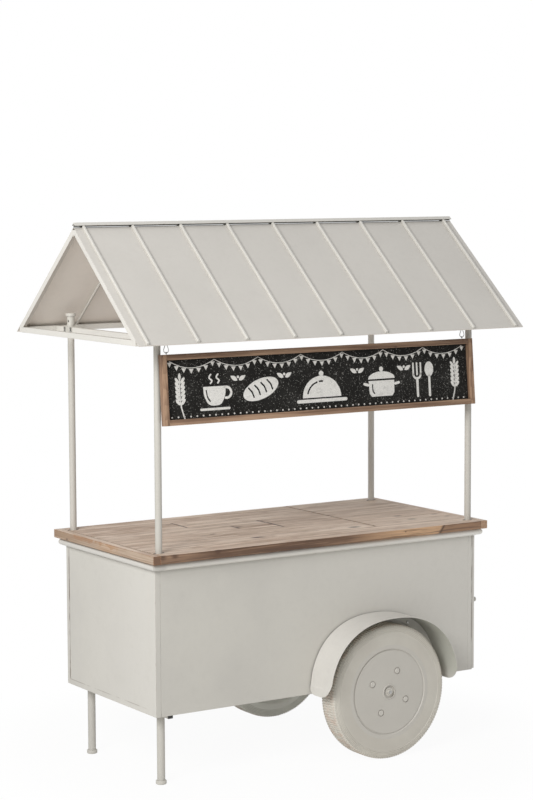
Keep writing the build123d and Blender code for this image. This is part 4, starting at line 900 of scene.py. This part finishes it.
def makeSignFrame(plane, look=signLook):
    along = timber("frameWoodAlong", "x", frameLook, ((-0.110, -0.36, 1.31, 0.006), (0.310, -0.36, 1.53, 0.005)))
    upright = timber("frameWoodUpright", "z", frameLook)
    face, deep, cut, step = (look[name] for name in ("face", "depth", "rebateDepth", "rebateFace"))
    section = ((0.0, 0.0), (face, 0.0), (face, cut), (step, cut), (step, deep), (0.0, deep))
    half = (plane.right - plane.left) / 2
    tall = (plane.top - plane.bottom) / 2
    proud = plane.front - plane.face
    length = 2 * (half - face - look["gap"])
    start = look["gap"] + face - half
    rails, stiles = [], []
    for hand, number in ((1, 0.31), (-1, 0.77)):
        rail = frameRail(plane, section, plane.at(start, hand * tall, proud), plane.across * length, plane.up * -hand, look)
        rails.append(withLot(rail, number, -0.36))
        stile = frameRail(plane, section, plane.at(hand * half, -tall, proud), plane.up * 2 * tall, plane.across * -hand, look)
        stiles.append(withLot(stile, number + 0.13, hand * half))
    railMesh = smoothed(joined("signRails", along, *rails))
    fitPiece("signFrameRails", railMesh, "sign", "sign_wood", "sign_frame")
    stileMesh = smoothed(joined("signStiles", upright, *stiles))
    fitPiece("signFrameStiles", stileMesh, "sign", "sign_wood")


# flat chalk shapes collected in millimetres on the board, then given their thickness
class Drawing:
    def __init__(self):
        self.shapes = []

    def fill(self, points):
        self.shapes.append(points)

    def dot(self, u, v, radius, flat=1.0):
        self.fill(oval(u, v, radius, radius * flat))

    # stroke of even width with round ends
    def stroke(self, points, width):
        line = [Vector(point) for point in points]
        sides = []
        for index, point in enumerate(line):
            ahead = line[min(index + 1, len(line) - 1)] - line[max(index - 1, 0)]
            sides.append(Vector((-ahead.y, ahead.x)).normalized() * width / 2)
        left = [tuple(point + side) for point, side in zip(line, sides)]
        right = [tuple(point - side) for point, side in zip(line, sides)]
        self.fill(left + roundEnd(line[-1], sides[-1]) + right[::-1] + roundEnd(line[0], -sides[0]))

    def mesh(self, name, plane, depth, material, wobble, chance):
        work = bmesh.new()
        for points in self.shapes:
            shaken = [(u + chance.uniform(-wobble, wobble), v + chance.uniform(-wobble, wobble)) for u, v in points]
            corners = [work.verts.new(plane.at(u / 1000, v / 1000)) for u, v in shaken]
            face = work.faces.new(corners)
            face.normal_update()
            if face.normal.dot(plane.out) > 0:
                face.normal_flip()
            lifted = bmesh.ops.extrude_face_region(work, geom=[face])["geom"]
            top = [item for item in lifted if isinstance(item, bmesh.types.BMVert)]
            bmesh.ops.translate(work, verts=top, vec=plane.out * depth)
        bmesh.ops.recalc_face_normals(work, faces=work.faces)
        bmesh.ops.triangulate(work, faces=[face for face in work.faces if len(face.verts) > 4], ngon_method="EAR_CLIP")
        drawn = bpy.data.meshes.new(name)
        work.to_mesh(drawn)
        work.free()
        return inOneFinish(drawn, material)


def roundEnd(tip, side):
    swing = [math.pi * step / 6 for step in range(1, 6)]
    ahead = Vector((side.y, -side.x))
    return [tuple(tip + side * math.cos(angle) + ahead * math.sin(angle)) for angle in swing]


def oval(u, v, wide, tall, start=0.0, end=360.0, tilt=0.0, steps=28):
    closed = abs(end - start) >= 360.0
    points = []
    for step in range(steps if closed else steps + 1):
        angle = math.radians(start + (end - start) * step / steps)
        point = Vector((wide * math.cos(angle), tall * math.sin(angle)))
        point.rotate(Matrix.Rotation(math.radians(tilt), 2))
        points.append((u + point.x, v + point.y))
    return points


# smooth line through a few points
def flow(points, steps=8):
    line = [Vector(points[0])] + [Vector(point) for point in points] + [Vector(points[-1])]
    through = []
    for index in range(1, len(line) - 2):
        before, here, there, after = line[index - 1:index + 3]
        for step in range(steps):
            t = step / steps
            bent = (there - before) * t + (2 * before - 5 * here + 4 * there - after) * t * t
            bent += (3 * here - before - 3 * there + after) * t ** 3
            through.append(tuple(here + bent / 2))
    through.append(tuple(line[-1]))
    return through


def drawDome(white, ink, u, v):
    white.fill(oval(u, v - 34, 84, 78, 0.0, 180.0))
    white.stroke([(u - 104, v - 46), (u + 104, v - 46)], 13)
    white.dot(u, v + 52, 10)
    ink.stroke(oval(u, v - 34, 64, 58, 108.0, 164.0, 0.0, 10), 6)
    ink.stroke(oval(u, v - 34, 64, 58, 86.0, 98.0, 0.0, 6), 6)


def drawCup(white, ink, u, v):
    bowl = flow([(u - 46, v + 26), (u - 43, v - 6), (u - 26, v - 36), (u, v - 42), (u + 26, v - 36), (u + 43, v - 6), (u + 46, v + 26)])
    white.fill(bowl)
    white.stroke(oval(u + 49, v + 2, 20, 19, -100.0, 110.0, 0.0, 14), 9)
    white.stroke([(u - 58, v - 54), (u + 58, v - 54)], 9)
    for offset in (-15, 15):
        white.stroke(flow([(u + offset, v + 37), (u + offset + 6, v + 46), (u + offset - 5, v + 57), (u + offset + 2, v + 68)]), 6)
    ink.stroke(flow([(u - 34, v + 12), (u - 30, v - 10), (u - 20, v - 26)]), 5)


def drawLoaf(white, ink, u, v):
    white.fill(oval(u, v, 78, 36, 0.0, 360.0, 18.0, 36))
    for offset in (-42, -14, 14, 42):
        middle = (u + offset * 0.95, v + offset * 0.31)
        ink.stroke(flow([(middle[0] - 12, middle[1] + 18), (middle[0] + 2, middle[1] + 3), (middle[0] + 9, middle[1] - 15)]), 6)


def drawPot(white, ink, u, v):
    white.fill([(u - 58, v + 6), (u - 56, v - 40), (u - 46, v - 52), (u + 46, v - 52), (u + 56, v - 40), (u + 58, v + 6)])
    white.fill(oval(u, v + 13, 60, 27, 0.0, 180.0))
    white.dot(u, v + 49, 9)
    for hand in (-1, 1):
        white.stroke([(u + hand * 62, v - 8), (u + hand * 78, v - 4)], 10)
    ink.stroke(flow([(u - 42, v - 8), (u - 41, v - 30), (u - 34, v - 40)]), 5)


def drawForkAndSpoon(white, u, v):
    white.stroke([(u - 26, v - 60), (u - 26, v + 6)], 10)
    white.stroke(oval(u - 26, v + 22, 17, 17, 180.0, 360.0, 0.0, 12), 8)
    for offset in (-17, 0, 17):
        white.stroke([(u - 26 + offset, v + 20), (u - 26 + offset, v + 62)], 7)
    white.stroke([(u + 30, v - 60), (u + 30, v + 14)], 10)
    white.fill(oval(u + 30, v + 38, 20, 28))


def drawEar(white, u, v, hand):
    white.stroke(flow([(u - hand * 12, v - 84), (u, v - 40), (u + hand * 4, v + 6), (u + hand * 2, v + 52)]), 5)
    for step in range(6):
        height = v - 30 + 15 * step
        for side in (-1, 1):
            white.fill(oval(u + side * 11 + hand * 2, height + 8, 13, 5.5, 0.0, 360.0, side * 52.0, 14))
    white.fill(oval(u + hand * 2, v + 66, 5.5, 13, 0.0, 360.0, 0.0, 14))


def drawLeaf(white, u, v, tilt, size=1.0):
    turn = Matrix.Rotation(math.radians(tilt), 2)
    outline = flow([(0, 0), (10, 8), (24, 9), (40, 0), (24, -9), (10, -8), (0, 0)], 5)[:-1]
    white.fill([tuple(Vector((u, v)) + turn @ (Vector(point) * size)) for point in outline])


# flags or dots set along a line on the board, turned to lie in its face
def chalkRowRecipe(material):
    r = Recipe("chalkRow", Spacing="Float", Radius="Float", Depth="Float", Sides="Int", Spin="Float", Lean="Float")
    given = r.given.out
    line = r.add("GeometryNodeMeshToCurve", None, {0: r.given})
    points = r.add("GeometryNodeCurveToPoints", {"mode": "LENGTH"}, {"Curve": line, "Length": given("Spacing")}, "Points")
    sizes = {"Vertices": given("Sides"), "Radius": given("Radius"), "Depth": given("Depth")}
    shape = r.add("GeometryNodeMeshCylinder", {"fill_type": "NGON"}, sizes)
    shape = r.add("GeometryNodeTransform", None, {0: shape, "Rotation": r.join(0.0, 0.0, given("Spin"))})
    tilt = r.add("FunctionNodeEulerToRotation", None, {0: r.join(given("Lean"), 0.0, 0.0)})
    row = r.add("GeometryNodeInstanceOnPoints", None, {"Points": points, "Instance": shape, "Rotation": tilt})
    r.close(row, material)
    return r


def lineMesh(name, points):
    mesh = bpy.data.meshes.new(name)
    mesh.from_pydata(points, [(index, index + 1) for index in range(len(points) - 1)], [])
    return mesh


def makeChalk(plane, look=signLook):
    chance = random.Random(look["seed"])
    whiteChalk = chalk("whiteChalk")
    white, ink = Drawing(), Drawing()
    drawEar(white, -600, -22, -1)
    drawCup(white, ink, -462, -22)
    drawLoaf(white, ink, -268, -16)
    drawDome(white, ink, -6, -26)
    drawPot(white, ink, 262, -20)
    drawForkAndSpoon(white, 452, -20)
    drawEar(white, 600, -22, 1)
    for place in (-362, -166, 154, 366):
        drawLeaf(white, place - 3, 20, 150.0, 0.8)
        drawLeaf(white, place + 3, 20, 30.0, 0.8)
        white.dot(place, 32, 5)
    # garland in even swags between pegs along the top
    swags, reach, peg, sag = 7, 640.0, 99.0, 26.0
    string = []
    for step in range(swags * 12 + 1):
        share = step / 12 % 1.0
        string.append((-reach + 2 * reach * step / (swags * 12), peg - sag * 4 * share * (1 - share)))
    white.stroke(string, 2.6)
    wobble = look["wobble"] * 1000
    drawn = white.mesh("chalkDrawing", plane, look["chalkDepth"], whiteChalk, wobble, chance)
    fitPiece("chalkDrawing", drawn, "sign", "black_board")
    lines = ink.mesh("chalkLines", plane, look["inkDepth"], nodes["sign_board"].data.materials[0], wobble, chance)
    fitPiece("chalkInnerLines", lines, "sign", "black_board")
    row = chalkRowRecipe(whiteChalk)
    lean = math.pi / 2 - math.asin(plane.up.y)
    depth = 2 * look["chalkDepth"]
    flagLine = lineMesh("flags", [plane.at(u / 1000, (v - 9) / 1000) for u, v in string])
    flags = row.grow("flags", flagLine, Spacing=0.0305, Radius=0.0112, Depth=depth, Sides=3, Spin=math.radians(-90.0), Lean=lean)
    fitPiece("chalkFlags", flags, "sign", "black_board")
    dotLine = lineMesh("dots", [plane.at(-0.640, -0.0965), plane.at(0.640, -0.0965)])
    dots = row.grow("dots", dotLine, Spacing=0.0256, Radius=0.0032, Depth=depth, Sides=12, Spin=0.0, Lean=lean)
    fitPiece("chalkDots", dots, "sign", "black_board")


def makeSign():
    surface = nodes["sign_board"].data.materials
    surface.clear()
    surface.append(chalkedBoard("blackBoard"))
    plane = BoardPlane()
    makeSignFrame(plane)
    makeChalk(plane)


makeSign()
print("board drawn")


# stage: pale floor that looks white and keeps a faint shadow, even white room, one large soft lamp
stageLook = {
    "floorRadius": 9.0, "floorTone": rgb(240, 239, 236), "floorGlow": 0.09, "shadowShare": 0.06, "fadeFrom": 0.8, "fadeTo": 1.35,
    "room": 0.40, "lampAway": 7.0, "lampFrom": (-0.73, -0.47, 0.44), "lampSize": 3.0, "lampPower": 320.0,
    "aim": (0.0, 0.0, 1.0),
}


def seenDirectly(tree):
    path = tree.add("ShaderNodeLightPath", out="Is Camera Ray")
    return path.most(path.out("Is Glossy Ray")).most(path.out("Is Transmission Ray"))


def makeFloor(look=stageLook):
    mesh = bpy.data.meshes.new("floor")
    work = bmesh.new()
    bmesh.ops.create_circle(work, cap_ends=True, segments=96, radius=look["floorRadius"])
    work.to_mesh(mesh)
    work.free()
    floor = bpy.data.objects.new("floor", mesh)
    scene.collection.objects.link(floor)
    f = Finish("paleFloor")
    x, y, _ = f.axes(f.where)
    fade = (x * x + y * y).root().between(look["fadeFrom"], look["fadeTo"])
    plain = f.add("ShaderNodeBsdfDiffuse", None, {"Color": look["floorTone"]})
    glow = f.add("ShaderNodeEmission", None, {"Color": (1.0, 1.0, 1.0, 1.0), "Strength": look["floorGlow"]})
    plain = f.add("ShaderNodeAddShader", None, {0: plain, 1: glow})
    white = f.add("ShaderNodeEmission", None, {"Color": (1.0, 1.0, 1.0, 1.0), "Strength": 1.0})
    share = seenDirectly(f) * (1.0 - (1.0 - fade) * look["shadowShare"])
    surface = f.add("ShaderNodeMixShader", None, {0: share, 1: plain, 2: white})
    f.add("ShaderNodeOutputMaterial", None, {"Surface": surface})
    mesh.materials.append(f.material)


def makeRoom(look=stageLook):
    world = bpy.data.worlds.new("whiteRoom")
    world.use_nodes = True
    tree = Tree(world.node_tree)
    world.node_tree.nodes.clear()
    soft = tree.add("ShaderNodeBackground", None, {"Color": (1.0, 1.0, 1.0, 1.0), "Strength": look["room"]})
    white = tree.add("ShaderNodeBackground", None, {"Color": (1.0, 1.0, 1.0, 1.0), "Strength": 1.0})
    surface = tree.add("ShaderNodeMixShader", None, {0: seenDirectly(tree), 1: soft, 2: white})
    tree.add("ShaderNodeOutputWorld", None, {"Surface": surface})
    scene.world = world


def makeLamp(look=stageLook):
    aim = Vector(look["aim"])
    away = Vector(look["lampFrom"]).normalized()
    data = bpy.data.lights.new("softLamp", "AREA")
    data.shape = "DISK"
    data.size = look["lampSize"]
    data.energy = look["lampPower"]
    lamp = bpy.data.objects.new("softLamp", data)
    lamp.matrix_world = Matrix.Translation(aim + away * look["lampAway"]) @ away.to_track_quat("Z", "Y").to_matrix().to_4x4()
    scene.collection.objects.link(lamp)


# the photograph's view
cameraLook = {
    "place": (-4.5703, -7.0397, 2.1618), "yaw": 32.8416, "pitch": 5.7235, "roll": -0.2409,
    "lens": 100.674, "sensor": 36.0,
}


def makeCamera(look=cameraLook):
    yaw, pitch, roll = (math.radians(look[name]) for name in ("yaw", "pitch", "roll"))
    ahead = Vector((math.sin(yaw) * math.cos(pitch), math.cos(yaw) * math.cos(pitch), -math.sin(pitch)))
    right = Vector((math.cos(yaw), -math.sin(yaw), 0.0))
    up = right.cross(ahead)
    tiltedRight = right * math.cos(roll) + up * math.sin(roll)
    tiltedUp = up * math.cos(roll) - right * math.sin(roll)
    data = bpy.data.cameras.new("photoView")
    data.lens = look["lens"]
    data.sensor_width = look["sensor"]
    camera = bpy.data.objects.new("photoView", data)
    turned = Matrix((tiltedRight, tiltedUp, -ahead)).transposed().to_4x4()
    camera.matrix_world = Matrix.Translation(look["place"]) @ turned
    scene.collection.objects.link(camera)
    scene.camera = camera


makeFloor()
makeRoom()
makeLamp()
makeCamera()
scene.view_settings.view_transform = "Standard"
print("stage set")
